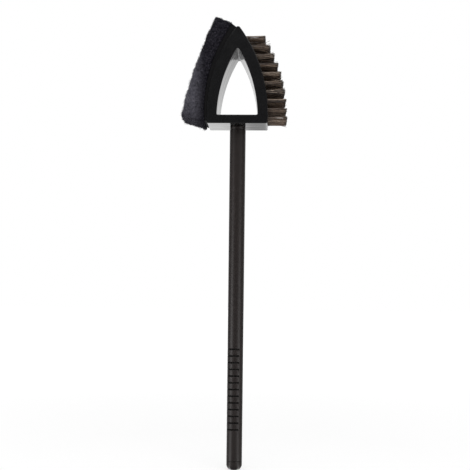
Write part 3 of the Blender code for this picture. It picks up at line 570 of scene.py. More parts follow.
# Head shell. A glossy black moulding in the shape of a pointed arch, open at its back, with a window
# for the brush block on its right wall and two slots for the pad's runners on its left wall.
HEAD_DEPTH = 0.052
HEAD_HALF_WIDTH = 0.0356
HEAD_ARC_RADIUS = 0.1732
HEAD_ARC_HEIGHT = 0.0115
HEAD_TIP_RADIUS = 0.003
HEAD_CORNER_RADIUS = 0.0015
HEAD_EDGE_BEVEL = 0.0006
HOLE_HALF_WIDTH = 0.0240
HOLE_ARC_RADIUS = 0.1595
HOLE_ARC_HEIGHT = 0.0054
HOLE_TIP_RADIUS = 0.0012
HOLE_BACK_TIP_RADIUS = 0.0021
HOLE_CORNER_RADIUS = 0.0018
HOLE_DRAFT = 0.0011
WEB_HEIGHT = 0.0101
LEAST_RADIUS = 0.0002
SHELL_WALL = 0.0022
SHELL_EDGE_RADIUS = 0.00015
COVER_THICKNESS = 0.0020
OVERRUN = 0.001
EMBED = 0.0005
CORNER_STEPS = 6
SIDE_STEPS = 72
TIP_STEPS = 8
FLOOR_STEPS = 24
BEVEL_ROWS = 5
RIB_THICKNESS = 0.0016
RIB_DEPTH = 0.024
RIB_HEIGHT_SHARES = (0.117, 0.341, 0.557, 0.799)
RIB_WALL_SHARE = 0.25
BOSS_RADIUS = 0.0028
BOSS_SIDES = 40
TIP_BOSS_MARGIN = 0.0174
SIDE_BOSS_HEIGHT = 0.050
SIDE_BOSS_OFFSET = 0.0250
WEB_BOSS_OFFSET = 0.0200
SOCKET_NECK_RADIUS = 0.0085
SOCKET_FLANGE_HALF = 0.0110
SCREW_SHANK_RADIUS = 0.0013
SCREW_LENGTH = 0.012
LUG_HALF_HEIGHT = 0.0045
BRUSH_ROWS = 10
LOWEST_ROW_HEIGHT = 0.0064
LOWEST_ROW_MARGIN = 0.0035
TOP_ROW_MARGIN = 0.0121
WINDOW_HALF_DEPTH = 0.0222
WINDOW_STEPS = 24
RUNNER_HEIGHT_SHARES = (0.225, 0.682)
RUNNER_NECK_WIDTH = 0.0040
RUNNER_HEAD_WIDTH = 0.0080
RUNNER_HEAD_THICKNESS = 0.0016
RUNNER_STOP = 0.0060

Arch = namedtuple("Arch", "radius half_width centre_height floor tip corner")
head_arch = Arch(HEAD_ARC_RADIUS, HEAD_HALF_WIDTH, HEAD_ARC_HEIGHT, 0.0, HEAD_TIP_RADIUS, HEAD_CORNER_RADIUS)
hole_arch = Arch(
    HOLE_ARC_RADIUS, HOLE_HALF_WIDTH, HOLE_ARC_HEIGHT, WEB_HEIGHT, HOLE_TIP_RADIUS, HOLE_CORNER_RADIUS
)
front = -HEAD_DEPTH / 2
back = HEAD_DEPTH / 2
cover_face = back - COVER_THICKNESS
shell_rim = cover_face - SEAM
cavity_floor = front + SHELL_WALL
head_arm = HEAD_ARC_RADIUS - HEAD_HALF_WIDTH
tip_centre_rise = math.sqrt((HEAD_ARC_RADIUS - HEAD_TIP_RADIUS) ** 2 - head_arm**2)
head_height = HEAD_ARC_HEIGHT + tip_centre_rise + HEAD_TIP_RADIUS
row_pitch = (head_height - TOP_ROW_MARGIN - LOWEST_ROW_HEIGHT) / (BRUSH_ROWS - 1)
window_low = LOWEST_ROW_HEIGHT - LOWEST_ROW_MARGIN
window_top = head_height - TOP_ROW_MARGIN + row_pitch / 2
runner_heights = [share * head_height for share in RUNNER_HEIGHT_SHARES]


def inset(arch, by):
    """The arch with its outline moved inwards by a distance, or outwards where that is negative."""
    return Arch(
        arch.radius - by, arch.half_width - by, arch.centre_height, arch.floor + by,
        max(arch.tip - by, LEAST_RADIUS), max(arch.corner - by, LEAST_RADIUS),
    )


def circle(centre, radius, angles):
    """Points at these angles of a circle, as (x, height) rows."""
    return columns(centre[0] + radius * np.cos(angles), centre[1] + radius * np.sin(angles))


def arch_outline(arch):
    """A closed row of (x, height) points that runs anticlockwise: a round lower corner, a long arc about
    a centre beyond the middle, half of the round tip, the mirror image of these, and the flat floor."""
    arm = arch.radius - arch.half_width
    corner_height = arch.floor + arch.corner
    rise = corner_height - arch.centre_height
    corner_x = math.sqrt((arch.radius - arch.corner) ** 2 - rise**2) - arm
    tip_rise = math.sqrt((arch.radius - arch.tip) ** 2 - arm**2)
    tip_centre = (0.0, arch.centre_height + tip_rise)
    down, low = -math.pi / 2, math.atan2(rise, corner_x + arm)
    high, up = math.atan2(tip_rise, arm), math.pi / 2
    right = np.concatenate([
        circle((corner_x, corner_height), arch.corner, np.linspace(down, low, CORNER_STEPS + 1)),
        circle((-arm, arch.centre_height), arch.radius, np.linspace(low, high, SIDE_STEPS + 1)[1:]),
        circle(tip_centre, arch.tip, np.linspace(high, up, TIP_STEPS + 1)[1:]),
    ])
    left = right[-2::-1] * (-1, 1)
    floor = columns(np.linspace(-corner_x, corner_x, FLOOR_STEPS + 1)[1:-1], arch.floor)
    return np.concatenate([right, left, floor])


def lay(outline, depth):
    """Puts (x, height) rows of the head into space at one depth."""
    return columns(outline[:, 0], depth, outline[:, 1] + head_base)


def head_loop(by, depth):
    """The head's outline, moved inwards, at a depth."""
    return lay(arch_outline(inset(head_arch, by)), depth)


def hole_loop(growth, depth):
    """The opening's outline at a depth, grown. It narrows and its tip gets rounder towards the back."""
    share = (depth - front) / HEAD_DEPTH
    tip = HOLE_TIP_RADIUS + (HOLE_BACK_TIP_RADIUS - HOLE_TIP_RADIUS) * share
    arch = inset(hole_arch, HOLE_DRAFT * share - growth)
    return lay(arch_outline(arch._replace(tip=tip + growth)), depth)


def side_reach(arch, height):
    """How far the arch's side is from the middle at a height."""
    return np.sqrt(arch.radius**2 - (height - arch.centre_height) ** 2) - (arch.radius - arch.half_width)


def side_angle(height):
    """The angle of the head's outer arc at a height."""
    return np.arcsin((height - HEAD_ARC_HEIGHT) / HEAD_ARC_RADIUS)


def level_point(height, offset):
    """The (x, height) point at an exact height, a distance outside the head's right arc."""
    reach = np.sqrt((HEAD_ARC_RADIUS + offset) ** 2 - (height - HEAD_ARC_HEIGHT) ** 2) - head_arm
    return columns(reach, height)


def left_point(angle, offset):
    """The (x, height) point at an angle of the head's left arc, a distance outside it."""
    radius = HEAD_ARC_RADIUS + offset
    return columns(head_arm - radius * np.cos(angle), HEAD_ARC_HEIGHT + radius * np.sin(angle))


def level_band(low, high, inner, outer, steps):
    """An outline between two levels and two offsets from the head's right arc."""
    levels = np.linspace(low, high, steps + 1)
    return np.concatenate([level_point(levels, outer), level_point(levels[::-1], inner)])


def box_outline(low_x, high_x, low, high):
    """An upright rectangle as (x, height) rows."""
    return np.array([(low_x, low), (high_x, low), (high_x, high), (low_x, high)])


def runner_outline(height, corners):
    """Places (along, outwards) rows on the left arc at a height."""
    angle = side_angle(height)
    along = np.array((math.sin(angle), math.cos(angle)))
    outwards = np.array((-math.cos(angle), math.sin(angle)))
    corners = np.array(corners)
    return left_point(angle, 0.0) + corners[:, :1] * along + corners[:, 1:] * outwards


def prism(outline, low, high):
    """A straight prism along Y on a closed outline, as points and faces that look outwards."""
    x, z = outline.T
    if np.sum(x * np.roll(z, -1) - z * np.roll(x, -1)) > 0:
        outline = outline[::-1]
    sides = len(outline)
    points = np.concatenate([lay(outline, low), lay(outline, high)])
    return points, [ring_faces(2, sides), *end_faces(2, sides)]


def bore(place, radius, low, high):
    """A round prism along Y at an (x, height) place."""
    return prism(circle(place, radius, turns(BOSS_SIDES, ahead=0.5)), low, high)


def gather(shapes):
    """Joins (points, faces) pairs into one such pair."""
    points = np.concatenate([shape[0] for shape in shapes])
    starts = np.cumsum([0] + [len(shape[0]) for shape in shapes])
    return points, [block + start for shape, start in zip(shapes, starts) for block in shape[1]]


def carve(mesh, steps):
    """Joins or cuts shapes one after another with exact Booleans, and returns the new mesh."""
    work = bpy.data.objects.new("work", mesh)
    scene.collection.objects.link(work)
    tools = []
    for number, (operation, shapes) in enumerate(steps):
        tool = bpy.data.objects.new(f"tool_{number}", make_mesh(f"tool_{number}", *gather(shapes)))
        scene.collection.objects.link(tool)
        tools.append(tool)
        change = work.modifiers.new(f"step_{number}", "BOOLEAN")
        change.operation = operation
        change.solver = "EXACT"
        change.object = tool
    bpy.context.view_layer.update()
    carved = bpy.data.meshes.new_from_object(work.evaluated_get(bpy.context.evaluated_depsgraph_get()))
    for thing in [work, *tools]:
        bpy.data.objects.remove(thing)
    carved.name = mesh.name + "_carved"
    carved.set_sharp_from_angle(angle=math.radians(SHARP_ANGLE))
    return carved


web_middle = (WEB_HEIGHT + HOLE_DRAFT / 2) / 2
lug_x = side_reach(inset(hole_arch, -SHELL_WALL - SEAM), SIDE_BOSS_HEIGHT - LUG_HALF_HEIGHT)
wall_x = side_reach(inset(head_arch, SHELL_WALL + SEAM), SIDE_BOSS_HEIGHT)
screw_places = {
    "tip": (0.0, head_height - TIP_BOSS_MARGIN),
    "web_left": (-WEB_BOSS_OFFSET, web_middle),
    "web_right": (WEB_BOSS_OFFSET, web_middle),
    "side": (-SIDE_BOSS_OFFSET, SIDE_BOSS_HEIGHT),
    "block": ((lug_x + wall_x) / 2, SIDE_BOSS_HEIGHT),
}

gloss_black = moulded_paint(
    "gloss_black", dark=(0.0030, 0.0030, 0.0034), light=(0.0060, 0.0060, 0.0065), specular=0.50,
    Grain_Scale=1500, Grain_Height=1e-6, Wave_Scale=38, Wave_Height=3e-5, Streak_Height=6.0e-4,
    Roughness=0.13, Roughness_Spread=0.10,
)

bend = np.linspace(0, math.pi / 2, BEVEL_ROWS)
bevel_in = HEAD_EDGE_BEVEL * (1 - np.cos(bend))
bevel_out = HEAD_EDGE_BEVEL * (1 - np.sin(bend))
bevel_end = HEAD_EDGE_BEVEL + SHELL_EDGE_RADIUS
loops = [
    head_loop(SHELL_EDGE_RADIUS, shell_rim),
    head_loop(0.0, shell_rim - SHELL_EDGE_RADIUS),
    head_loop(0.0, front + bevel_end),
    *[head_loop(into, front + down) for into, down in zip(bevel_in, bevel_out)],
    head_loop(bevel_end, front),
    hole_loop(bevel_end, front),
    *[hole_loop(growth, front + down) for growth, down in zip(bevel_out, bevel_in)],
    hole_loop(0.0, front + bevel_end),
    hole_loop(0.0, shell_rim - SHELL_EDGE_RADIUS),
    hole_loop(SHELL_EDGE_RADIUS, shell_rim),
    hole_loop(SHELL_WALL, shell_rim),
    hole_loop(SHELL_WALL, cavity_floor),
    head_loop(SHELL_WALL, cavity_floor),
    head_loop(SHELL_WALL, shell_rim),
]
sides = len(loops[0])
shell = make_mesh("shell", np.concatenate(loops), [ring_faces(len(loops), sides, True)])

ribs = []
hole_tip_rise = math.sqrt(HOLE_ARC_RADIUS**2 - (HOLE_ARC_RADIUS - HOLE_HALF_WIDTH + SHELL_WALL) ** 2)
for share in RIB_HEIGHT_SHARES:
    height = share * head_height
    inner = HOLE_TIP_RADIUS
    if height + RIB_THICKNESS / 2 < HOLE_ARC_HEIGHT + hole_tip_rise:
        inner = side_reach(hole_arch, height) + SHELL_WALL * RIB_WALL_SHARE
    outer = side_reach(head_arch, height) - SHELL_WALL / 2
    rib = box_outline(-outer, -inner, height - RIB_THICKNESS / 2, height + RIB_THICKNESS / 2)
    ribs.append(prism(rib, cavity_floor - EMBED, cavity_floor + RIB_DEPTH))
for side in (-1, 1):
    reach = sorted((side * (SOCKET_FLANGE_HALF + SEAM), side * (SOCKET_FLANGE_HALF + SEAM + RIB_THICKNESS)))
    rib = box_outline(*reach, SHELL_WALL - EMBED, WEB_HEIGHT - SHELL_WALL + EMBED)
    ribs.append(prism(rib, cavity_floor - EMBED, SOCKET_FLANGE_HALF))
bosses = [place for name, place in screw_places.items() if name != "block"]
ribs += [bore(place, BOSS_RADIUS, cavity_floor - EMBED, shell_rim) for place in bosses]
window = level_band(window_low, window_top, -SHELL_WALL - OVERRUN, OVERRUN, WINDOW_STEPS)
cuts = [prism(window, -WINDOW_HALF_DEPTH, WINDOW_HALF_DEPTH)]
half_neck = RUNNER_NECK_WIDTH / 2 + SEAM
for height in runner_heights:
    slot = runner_outline(height, box_outline(-half_neck, half_neck, -SHELL_WALL - OVERRUN, OVERRUN))
    cuts.append(prism(slot, front + RUNNER_STOP - SEAM, shell_rim + OVERRUN))
hole_levels = head_base + np.array((-OVERRUN, SHELL_WALL + EMBED))
cuts.append(turned(np.full(2, SOCKET_NECK_RADIUS + SEAM), hole_levels, BOSS_SIDES, False))
pilot = SCREW_SHANK_RADIUS + SEAM
pilot_end = shell_rim - SCREW_LENGTH - SEAM
pilots = [bore(place, pilot, pilot_end, shell_rim + OVERRUN) for place in bosses]
shell = carve(shell, [("UNION", ribs), ("DIFFERENCE", cuts), ("DIFFERENCE", pilots)])
show_piece(shell, gloss_black, "head", "gloss_black", "head_shell")

# Back cover. A flat plate of the same glossy plastic that closes the shell behind a fine seam. It
# takes five screws in round sinks, and the pad's runners pass through its two T-shaped notches.
SCREW_HEAD_RADIUS = 0.0026
SCREW_HEAD_HEIGHT = 0.0009


def runner_corners(clearance):
    """A runner's T along and outwards from the arc, grown by a clearance."""
    neck = RUNNER_NECK_WIDTH / 2 + clearance
    wide = RUNNER_HEAD_WIDTH / 2 + clearance
    shoulder = -SHELL_WALL - SEAM + clearance
    bottom = -SHELL_WALL - SEAM - RUNNER_HEAD_THICKNESS - clearance
    top = SEAM + EMBED + clearance
    return [
        (-wide, bottom), (wide, bottom), (wide, shoulder), (neck, shoulder),
        (neck, top), (-neck, top), (-neck, shoulder), (-wide, shoulder),
    ]


loops = [
    head_loop(SHELL_EDGE_RADIUS, cover_face),
    hole_loop(SHELL_EDGE_RADIUS, cover_face),
    hole_loop(0.0, cover_face + SHELL_EDGE_RADIUS),
    *[hole_loop(growth, back - down) for growth, down in zip(bevel_in, bevel_out)],
    hole_loop(bevel_end, back),
    head_loop(bevel_end, back),
    *[head_loop(into, back - down) for into, down in zip(bevel_out, bevel_in)],
    head_loop(0.0, cover_face + SHELL_EDGE_RADIUS),
]
cover = make_mesh("cover", np.concatenate(loops), [ring_faces(len(loops), sides, True)])
seat = back - SCREW_HEAD_HEIGHT - SEAM
sink = SCREW_HEAD_RADIUS + SEAM
holes = [bore(place, pilot, cover_face - OVERRUN, back) for place in screw_places.values()]
sinks = [bore(place, sink, seat, back + OVERRUN) for place in screw_places.values()]
notches = [
    prism(runner_outline(height, runner_corners(SEAM)), cover_face - OVERRUN, back + OVERRUN)
    for height in runner_heights
]
cover = carve(cover, [("DIFFERENCE", holes), ("DIFFERENCE", sinks), ("DIFFERENCE", notches)])
show_piece(cover, gloss_black, "head", "gloss_black", "back_cover")

# Cover screws. Five self-tapping screws of zinc-plated steel, with pan heads and cross slots, driven
# into the shell's bosses and the brush block.
SCREW_SLOT_LENGTH = 0.0030
SCREW_SLOT_WIDTH = 0.0007
SCREW_SLOT_DEPTH = 0.0005
SCREW_THREAD_PITCH = 0.0011
SCREW_THREAD_DEPTH = 0.0003
SCREW_SIDES = 40
SCREW_ROWS = 64
PAN_ROWS = 9
PLATING_MARKS = (1400, 4.0)

steel = metal_paint(
    "steel", dark=(0.42, 0.42, 0.44), light=(0.62, 0.62, 0.63), marks=PLATING_MARKS,
    roughness=0.22, spread=0.25, relief=6e-6,
)
tip_end = shell_rim - SCREW_LENGTH
head_seat = back - SCREW_HEAD_HEIGHT
lean = np.linspace(0, math.pi / 2, PAN_ROWS)
pan_radius = SCREW_HEAD_RADIUS - SCREW_HEAD_HEIGHT * (1 - np.cos(lean))
pan = columns(pan_radius, back - SCREW_HEAD_HEIGHT / 2 * (1 - np.sin(lean)))
levels = np.linspace(tip_end, head_seat, SCREW_ROWS)
point = np.clip((levels - tip_end) / SCREW_SHANK_RADIUS, 0, 1)
taper = SCREW_SHANK_RADIUS * (MIDDLE_SHARE + (1 - MIDDLE_SHARE) * point)
radius, height = np.concatenate([columns(taper, levels), [(SCREW_HEAD_RADIUS, head_seat)], pan]).T
threaded = (height < head_seat - SCREW_THREAD_PITCH) & (radius > SCREW_THREAD_DEPTH * 2)
root = 1 - thread_ridge(height, SCREW_THREAD_PITCH, SCREW_SIDES) ** 2
radius = radius[:, None] - SCREW_THREAD_DEPTH * root * threaded[:, None]
screw_points, screw_faces = turned(radius, height, SCREW_SIDES, False)
screw_x, screw_rise, screw_depth = screw_points.T
slot_end, slot_side = SCREW_SLOT_LENGTH / 2, SCREW_SLOT_WIDTH / 2
arm = np.array([(slot_end, -slot_side), (slot_end, slot_side), (slot_side, slot_side)])
quarter_turn = np.array(((0, 1), (-1, 0)))
cross = np.concatenate([arm @ np.linalg.matrix_power(quarter_turn, k) for k in range(4)])
for name, (x, height) in screw_places.items():
    placed = columns(x + screw_x, screw_depth, head_base + height - screw_rise)
    screw = make_mesh(f"screw_{name}", placed, screw_faces)
    slot = prism(cross + (x, height), back - SCREW_SLOT_DEPTH, back + OVERRUN)
    show_piece(carve(screw, [("DIFFERENCE", [slot])]), steel, "head", "steel", f"cover_screw_{name}")

# Brush block and pad carrier. Plain black mouldings that stay as the solids are: one holds the tufts
# from inside the shell, the other carries the pad on two runners.
matt_black = moulded_paint(
    "matt_black", dark=(0.0045, 0.0044, 0.0048), light=(0.0085, 0.0083, 0.0090), specular=0.15,
    Grain_Scale=2600, Grain_Height=3e-5, Wave_Scale=90, Wave_Height=3e-5, Roughness=0.62,
    Roughness_Spread=0.12,
)
# The carrier's black is a darker, duller copy of the matt black: painted shade for the narrow gap between
# the pad and the head where it sits.
carrier_painted_shade = moulded_paint(
    "carrier_painted_shade", dark=(0.0035, 0.0033, 0.0036), light=(0.0065, 0.0062, 0.0068), specular=0.06,
    Grain_Scale=2600, Grain_Height=3e-5, Wave_Scale=90, Wave_Height=3e-5, Roughness=0.65,
    Roughness_Spread=0.12,
)
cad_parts["brush_block"].material_slots[0].material = matt_black
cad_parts["pad_carrier"].material_slots[0].material = carrier_painted_shade

# Tuft rows. Ten rows of five tufts of stiff brown filaments, stapled into slices of the black backing
# that sit flush in the shell's window. The tufts flare and their tips are uneven, more so in the rows
# that use has unsettled.
COLUMN_COUNT = 5
COLUMN_PITCH = 0.0088
TUFT_TOP_LENGTH = 0.0228
TUFT_LOW_LENGTH = 0.0236
TUFT_ROOT_RADIUS = 0.0022
TUFT_TIP_RADIUS = 0.0026
TUFT_FLARE_POWER = 0.45
TUFT_SLANTS = (0.0006, 0.0010, 0.0011, 0.0009, 0.0007, 0.0005, 0.0007, 0.0006, 0.0002, 0.0)
ROW_UNREST = (0.0, 0.0, 0.1, 1.0, 1.0, 0.9, 0.1, 0.7, 0.5, 0.0)
TUFT_FILAMENTS = 60
TUFT_CLUMPS = 6
CLUMP_REACH = 0.8
CLUMP_PULL = 0.55
FILAMENT_RADIUS = 0.00021
FILAMENT_SIDES = 5
FILAMENT_SPANS = 4
FILAMENT_RAGGED = 0.0008
RAGGED_UNREST = 0.5
FILAMENT_BEND = 0.0006
STRAY_SHARE = 0.05
STRAY_UNREST = 3
STRAY_BEND = 0.0022
SLICE_STEPS = 6
BRISTLE_SEED = 11
GOLDEN_TURN = math.pi * (3 - math.sqrt(5))
BRISTLE_SHADES = ((0.0, (0.022, 0.0128, 0.0085)), (0.5, (0.150, 0.100, 0.067)), (1.0, (0.40, 0.32, 0.25)))
MIDDLE_TINT = 0.235
UNREST_TINT = -0.05
TUFT_TINT = 0.10
CLUMP_TINT = 0.44
OWN_TINT = 0.30
OWN_UNREST_TINT = 0.15
LOW_ROW_TINT = 0.17
PAINTED_GLINT_SHARE = 0.05
PAINTED_GLINT_UNREST = 2
PAINTED_GLINT_TINT = 0.6
STREAK_TINT = 0.9
FILAMENT_STREAK_SCALES = (150.0, 800.0, 800.0)
TIP_SOOT = {"colour": (0.020, 0.016, 0.013), "from": 0.86, "share": 0.75}
ROOT_SHADOW = {"colour": (0.018, 0.014, 0.011), "to": 0.35, "share": 0.55}
BRISTLE_GRAIN = (900, 2.0)
BRISTLE_ROUGHNESS = {"start": 0.35, "factor": 0.25}


def point_value(tree, name):
    """A number that a mesh gives to each of its points."""
    return add_node(tree, "Attribute", attribute_name=name).outputs["Fac"]


bristle, tree, shader = new_paint("bristle")
along = point_value(tree, "along")
streak = add_math(tree, "SUBTRACT", add_noise(tree, 1.0, 2.0, FILAMENT_STREAK_SCALES), 0.5)
tint = grown(tree, streak, STREAK_TINT, point_value(tree, "tint"))
soot = map_range(tree, along, TIP_SOOT["from"], 1.0, 0.0, TIP_SOOT["share"])
shade = mix_colours(tree, soot, add_ramp(tree, tint, BRISTLE_SHADES), TIP_SOOT["colour"])
shadow = map_range(tree, along, 0.0, ROOT_SHADOW["to"], ROOT_SHADOW["share"], 0.0)
shade = mix_colours(tree, shadow, shade, ROOT_SHADOW["colour"])
roughness = grown(tree, add_noise(tree, *BRISTLE_GRAIN), **BRISTLE_ROUGHNESS)
feed(shader, Base_Color=shade, Roughness=roughness)


def normalised(vectors):
    """The vectors at length one."""
    return vectors / np.linalg.norm(vectors, axis=-1, keepdims=True)


def tubes(paths, radii, sides, aside):
    """Round strands along rows of points. Each strand's ring is laid across its direction, from the
    vectors at right angles to it and to aside."""
    ahead = normalised(np.gradient(paths, axis=1))
    across = normalised(np.cross(ahead, aside))
    upright = np.cross(ahead, across)
    turn = turns(sides)[:, None]
    reach = np.broadcast_to(radii, paths.shape[:2])[:, :, None, None]
    rings = paths[:, :, None] + reach * (
        across[:, :, None] * np.cos(turn) + upright[:, :, None] * np.sin(turn)
    )
    strands, rows = paths.shape[:2]
    starts = np.arange(strands)[:, None, None] * (rows * sides)
    ends = end_faces(rows, sides)
    faces = [
        (ring_faces(rows, sides) + starts).reshape(-1, 4),
        (ends[0] + starts).reshape(-1, sides),
        (ends[1] + starts).reshape(-1, sides),
    ]
    return rings.reshape(-1, 3), faces


def add_values(mesh, name, values):
    """Gives every point of a mesh a number."""
    layer = mesh.attributes.new(name, "FLOAT", "POINT")
    layer.data.foreach_set("value", np.asarray(values, np.float32))


def centred(size):
    """Random numbers from minus a half to a half."""
    return bristle_random.uniform(-0.5, 0.5, size)


bristle_random = np.random.default_rng(BRISTLE_SEED)
count = COLUMN_COUNT * TUFT_FILAMENTS
number = np.arange(count)
tuft = number // TUFT_FILAMENTS
side = tuft - (COLUMN_COUNT - 1) / 2
share = np.sqrt((number % TUFT_FILAMENTS + 0.5) / TUFT_FILAMENTS)
place = circle((0, 0), share, number * GOLDEN_TURN)
behind = np.sqrt(tuft + (1 - place[:, 1]) / 2)
root_place = TUFT_ROOT_RADIUS * place[:, None]
t = np.linspace(0, 1, FILAMENT_SPANS + 1)
flare = t[:, None] ** TUFT_FLARE_POWER
per_filament = FILAMENT_SIDES * len(t)
for row, unrest in enumerate(ROW_UNREST):
    centre = LOWEST_ROW_HEIGHT + row * row_pitch
    low = max(centre - row_pitch / 2, window_low) + SEAM / 2 * (2 if row == 0 else 1)
    high = centre + row_pitch / 2 - SEAM / 2 * (2 if row == BRUSH_ROWS - 1 else 1)
    outline = level_band(low, high, -SHELL_WALL, 0.0, SLICE_STEPS)
    slice_points, slice_faces = prism(outline, SEAM - WINDOW_HALF_DEPTH, WINDOW_HALF_DEPTH - SEAM)

    length = TUFT_LOW_LENGTH + (TUFT_TOP_LENGTH - TUFT_LOW_LENGTH) * row / (BRUSH_ROWS - 1)
    tip_x = side_reach(head_arch, centre) + length
    clumps = bristle_random.uniform(-CLUMP_REACH, CLUMP_REACH, (COLUMN_COUNT, TUFT_CLUMPS, 2))
    nearest = np.linalg.norm(place[:, None] - clumps[tuft], axis=2).argmin(axis=1)
    gathered = place + (clumps[tuft, nearest] - place) * CLUMP_PULL
    stray = bristle_random.random(count) < STRAY_SHARE * (1 + STRAY_UNREST * unrest)
    sway = np.where(stray, STRAY_BEND, FILAMENT_BEND * (1 + unrest))
    bend = bristle_random.normal(0.0, 1.0, (count, 2)) * sway[:, None]
    ragged = FILAMENT_RAGGED * (1 + RAGGED_UNREST * unrest) * bristle_random.uniform(0.0, 2.0, count)
    end_x = tip_x - TUFT_SLANTS[row] * behind - ragged
    root_height = centre + place[:, 1] * TUFT_ROOT_RADIUS
    root_x = level_point(root_height, -SHELL_WALL / 2)[:, 0]
    spread = root_place + (TUFT_TIP_RADIUS * gathered[:, None] - root_place) * flare
    spread += bend[:, None] * t[:, None] ** 2
    paths = columns(
        root_x[:, None] + (end_x - root_x)[:, None] * t,
        side[:, None] * COLUMN_PITCH + spread[..., 0],
        head_base + centre + spread[..., 1],
    )
    tuft_tint = centred(COLUMN_COUNT)[tuft]
    clump_tint = centred((COLUMN_COUNT, TUFT_CLUMPS))[tuft, nearest]
    own_tint = centred(count)
    tints = MIDDLE_TINT + UNREST_TINT * unrest + TUFT_TINT * tuft_tint + CLUMP_TINT * clump_tint
    tints += (OWN_TINT + OWN_UNREST_TINT * unrest) * own_tint
    # Painted glints: a few filaments, more of them in unsettled rows, are drawn much paler.
    tints += PAINTED_GLINT_TINT * (bristle_random.random(count) < PAINTED_GLINT_SHARE * (1 + PAINTED_GLINT_UNREST * unrest))
    tints += LOW_ROW_TINT * (1 - row / (BRUSH_ROWS - 1)) ** 3
    filaments = tubes(paths, FILAMENT_RADIUS, FILAMENT_SIDES, (0, 0, 1))
    mesh = make_mesh(f"tufts_{row + 1:02d}", *gather([(slice_points, slice_faces), filaments]))
    blank = np.zeros(len(slice_points))
    add_values(mesh, "tint", np.concatenate([blank, np.repeat(tints, per_filament)]))
    add_values(mesh, "along", np.concatenate([blank, np.tile(np.repeat(t, FILAMENT_SIDES), count)]))
    show_piece(mesh, bristle, "head", "bristle", f"tuft_row_{row + 1:02d}")
    mesh.materials.append(matt_black)
    in_slice = np.arange(len(mesh.polygons)) < sum(len(block) for block in slice_faces)
    mesh.polygons.foreach_set("material_index", in_slice.astype(np.int32))

# Scouring pad. A thick block of coarse black non-woven fibre, bonded to its carrier. Its surface is a
# tangle of curled fibres, looser where the block was cut off at its ends, and painted light makes its
# outer face greyer.
CARRIER_LOW_HEIGHT = 0.0030
CARRIER_TOP_MARGIN = 0.0008
CARRIER_LOW_THICKNESS = 0.0022
CARRIER_TOP_THICKNESS = 0.0055
PAD_LOW_CORNER = (-0.0660, 0.0086)
PAD_HIGH_CORNER = (-0.0265, 0.1265)
PAD_INNER_LOW_HEIGHT = 0.0010
PAD_FACE_RADIUS = 0.556
PAD_EDGE_RADIUS = 0.0026
PAD_CELLS = {"along": 140, "through": 34, "deep": 56}
PAD_SHARP_ANGLE = 180
PAD_SINK = 0.0006
PAD_BOND_SHARE = 0.08
PAD_LUMPS = ((0.0070, 0.00050), (0.0030, 0.00075), (0.0015, 0.00045))
PAD_SEED = 23
FIBRE_COUNT = 9000
FIBRE_SIDES = 3
FIBRE_SPANS = 9
FIBRE_RADIUS = (0.00007, 0.00013)
FIBRE_LENGTH = (0.0025, 0.0075)
FIBRE_LIFT = (0.0002, 0.0016)
FIBRE_SWAY = (0.0002, 0.0011)
FIBRE_WAVES = (0.5, 1.6)
FIBRE_SINK = 0.0003
LOOSE_SHARE = 0.08
LOOSE_LIFT = 1.2
SKIN_SHARE = 0.01
CUT_END_BONUS = 2.5
SEAM_BONUS = 5.0
SEAM_SHARE = 0.14
OVERHANG_CLEAR = 0.0006
PAD_DARK = (0.0050, 0.0042, 0.0078)
PAD_LIGHT = (0.280, 0.272, 0.322)
PAD_PAINTED_LIGHT_X = (-0.0505, -0.0395)
PAD_SHADED_HEIGHTS = (0.0038, 0.0248)
PAD_SHADED_LIGHT = 0.60
PAD_SPECKS = (1500, 3.0)
PAD_PATCHES = (330, 2.0)
PAD_MOTTLE = (620, 2.0)
PAD_PATCH_LIGHT = {"factor": 0.9, "start": 0.25}
PAD_MOTTLE_LIGHT = {"factor": 1.5, "start": -0.65}
PAD_FIBRE_LIGHT = {"factor": 0.55, "start": 0.35}
PAD_ROUGHNESS = {"factor": 0.3, "start": 0.6}
PAD_SPECK_HEIGHT = 2e-4
PAD_SPECULAR = 0.1

# Fibres far out are light throughout, which is painted light on the outer face; those further in are
# light in a mottle only, and those low on the pad are darker, which is painted shade.
pad_fibre, tree, shader = new_paint("pad_fibre")
place = add_node(tree, "TexCoord").outputs["Object"]
axes = add_node(tree, "SeparateXYZ", Vector=place).outputs
specks = add_noise(tree, *PAD_SPECKS)
patches = grown(tree, add_noise(tree, *PAD_PATCHES), **PAD_PATCH_LIGHT)
mottle = grown(tree, add_noise(tree, *PAD_MOTTLE), **PAD_MOTTLE_LIGHT)
painted_light_and_mottle = map_range(tree, axes["X"], *PAD_PAINTED_LIGHT_X, 1.0, add_math(tree, "MAXIMUM", mottle, 0.0))
shaded_levels = [head_base + height for height in PAD_SHADED_HEIGHTS]
shaded = map_range(tree, axes["Z"], *shaded_levels, PAD_SHADED_LIGHT)
own = grown(tree, point_value(tree, "tint"), **PAD_FIBRE_LIGHT)
light = add_math(tree, "MULTIPLY", own, add_math(tree, "MULTIPLY", patches, painted_light_and_mottle))
light = add_math(tree, "MULTIPLY", light, shaded)
feed(
    shader, Base_Color=mix_colours(tree, light, PAD_DARK, PAD_LIGHT), Specular_IOR_Level=PAD_SPECULAR,
    Roughness=grown(tree, specks, **PAD_ROUGHNESS),
    Normal=add_bump(tree, add_math(tree, "MULTIPLY", specks, PAD_SPECK_HEIGHT)),
)


def soft_noise(points, cell, random):
    """Smooth values of -1 to 1: numbers drawn for the corners of a cube lattice, blended between the
    corners with eased shares."""
    place = (points - points.min(axis=0)) / cell
    corner = np.floor(place).astype(int)
    share = ease(place - corner)
    lattice = random.uniform(-1, 1, corner.max(axis=0) + 2)
    total = np.zeros(len(points))
    for step in np.ndindex(2, 2, 2):
        weight = np.where(step, share, 1 - share).prod(axis=1)
        total += weight * lattice[tuple((corner + step).T)]
    return total


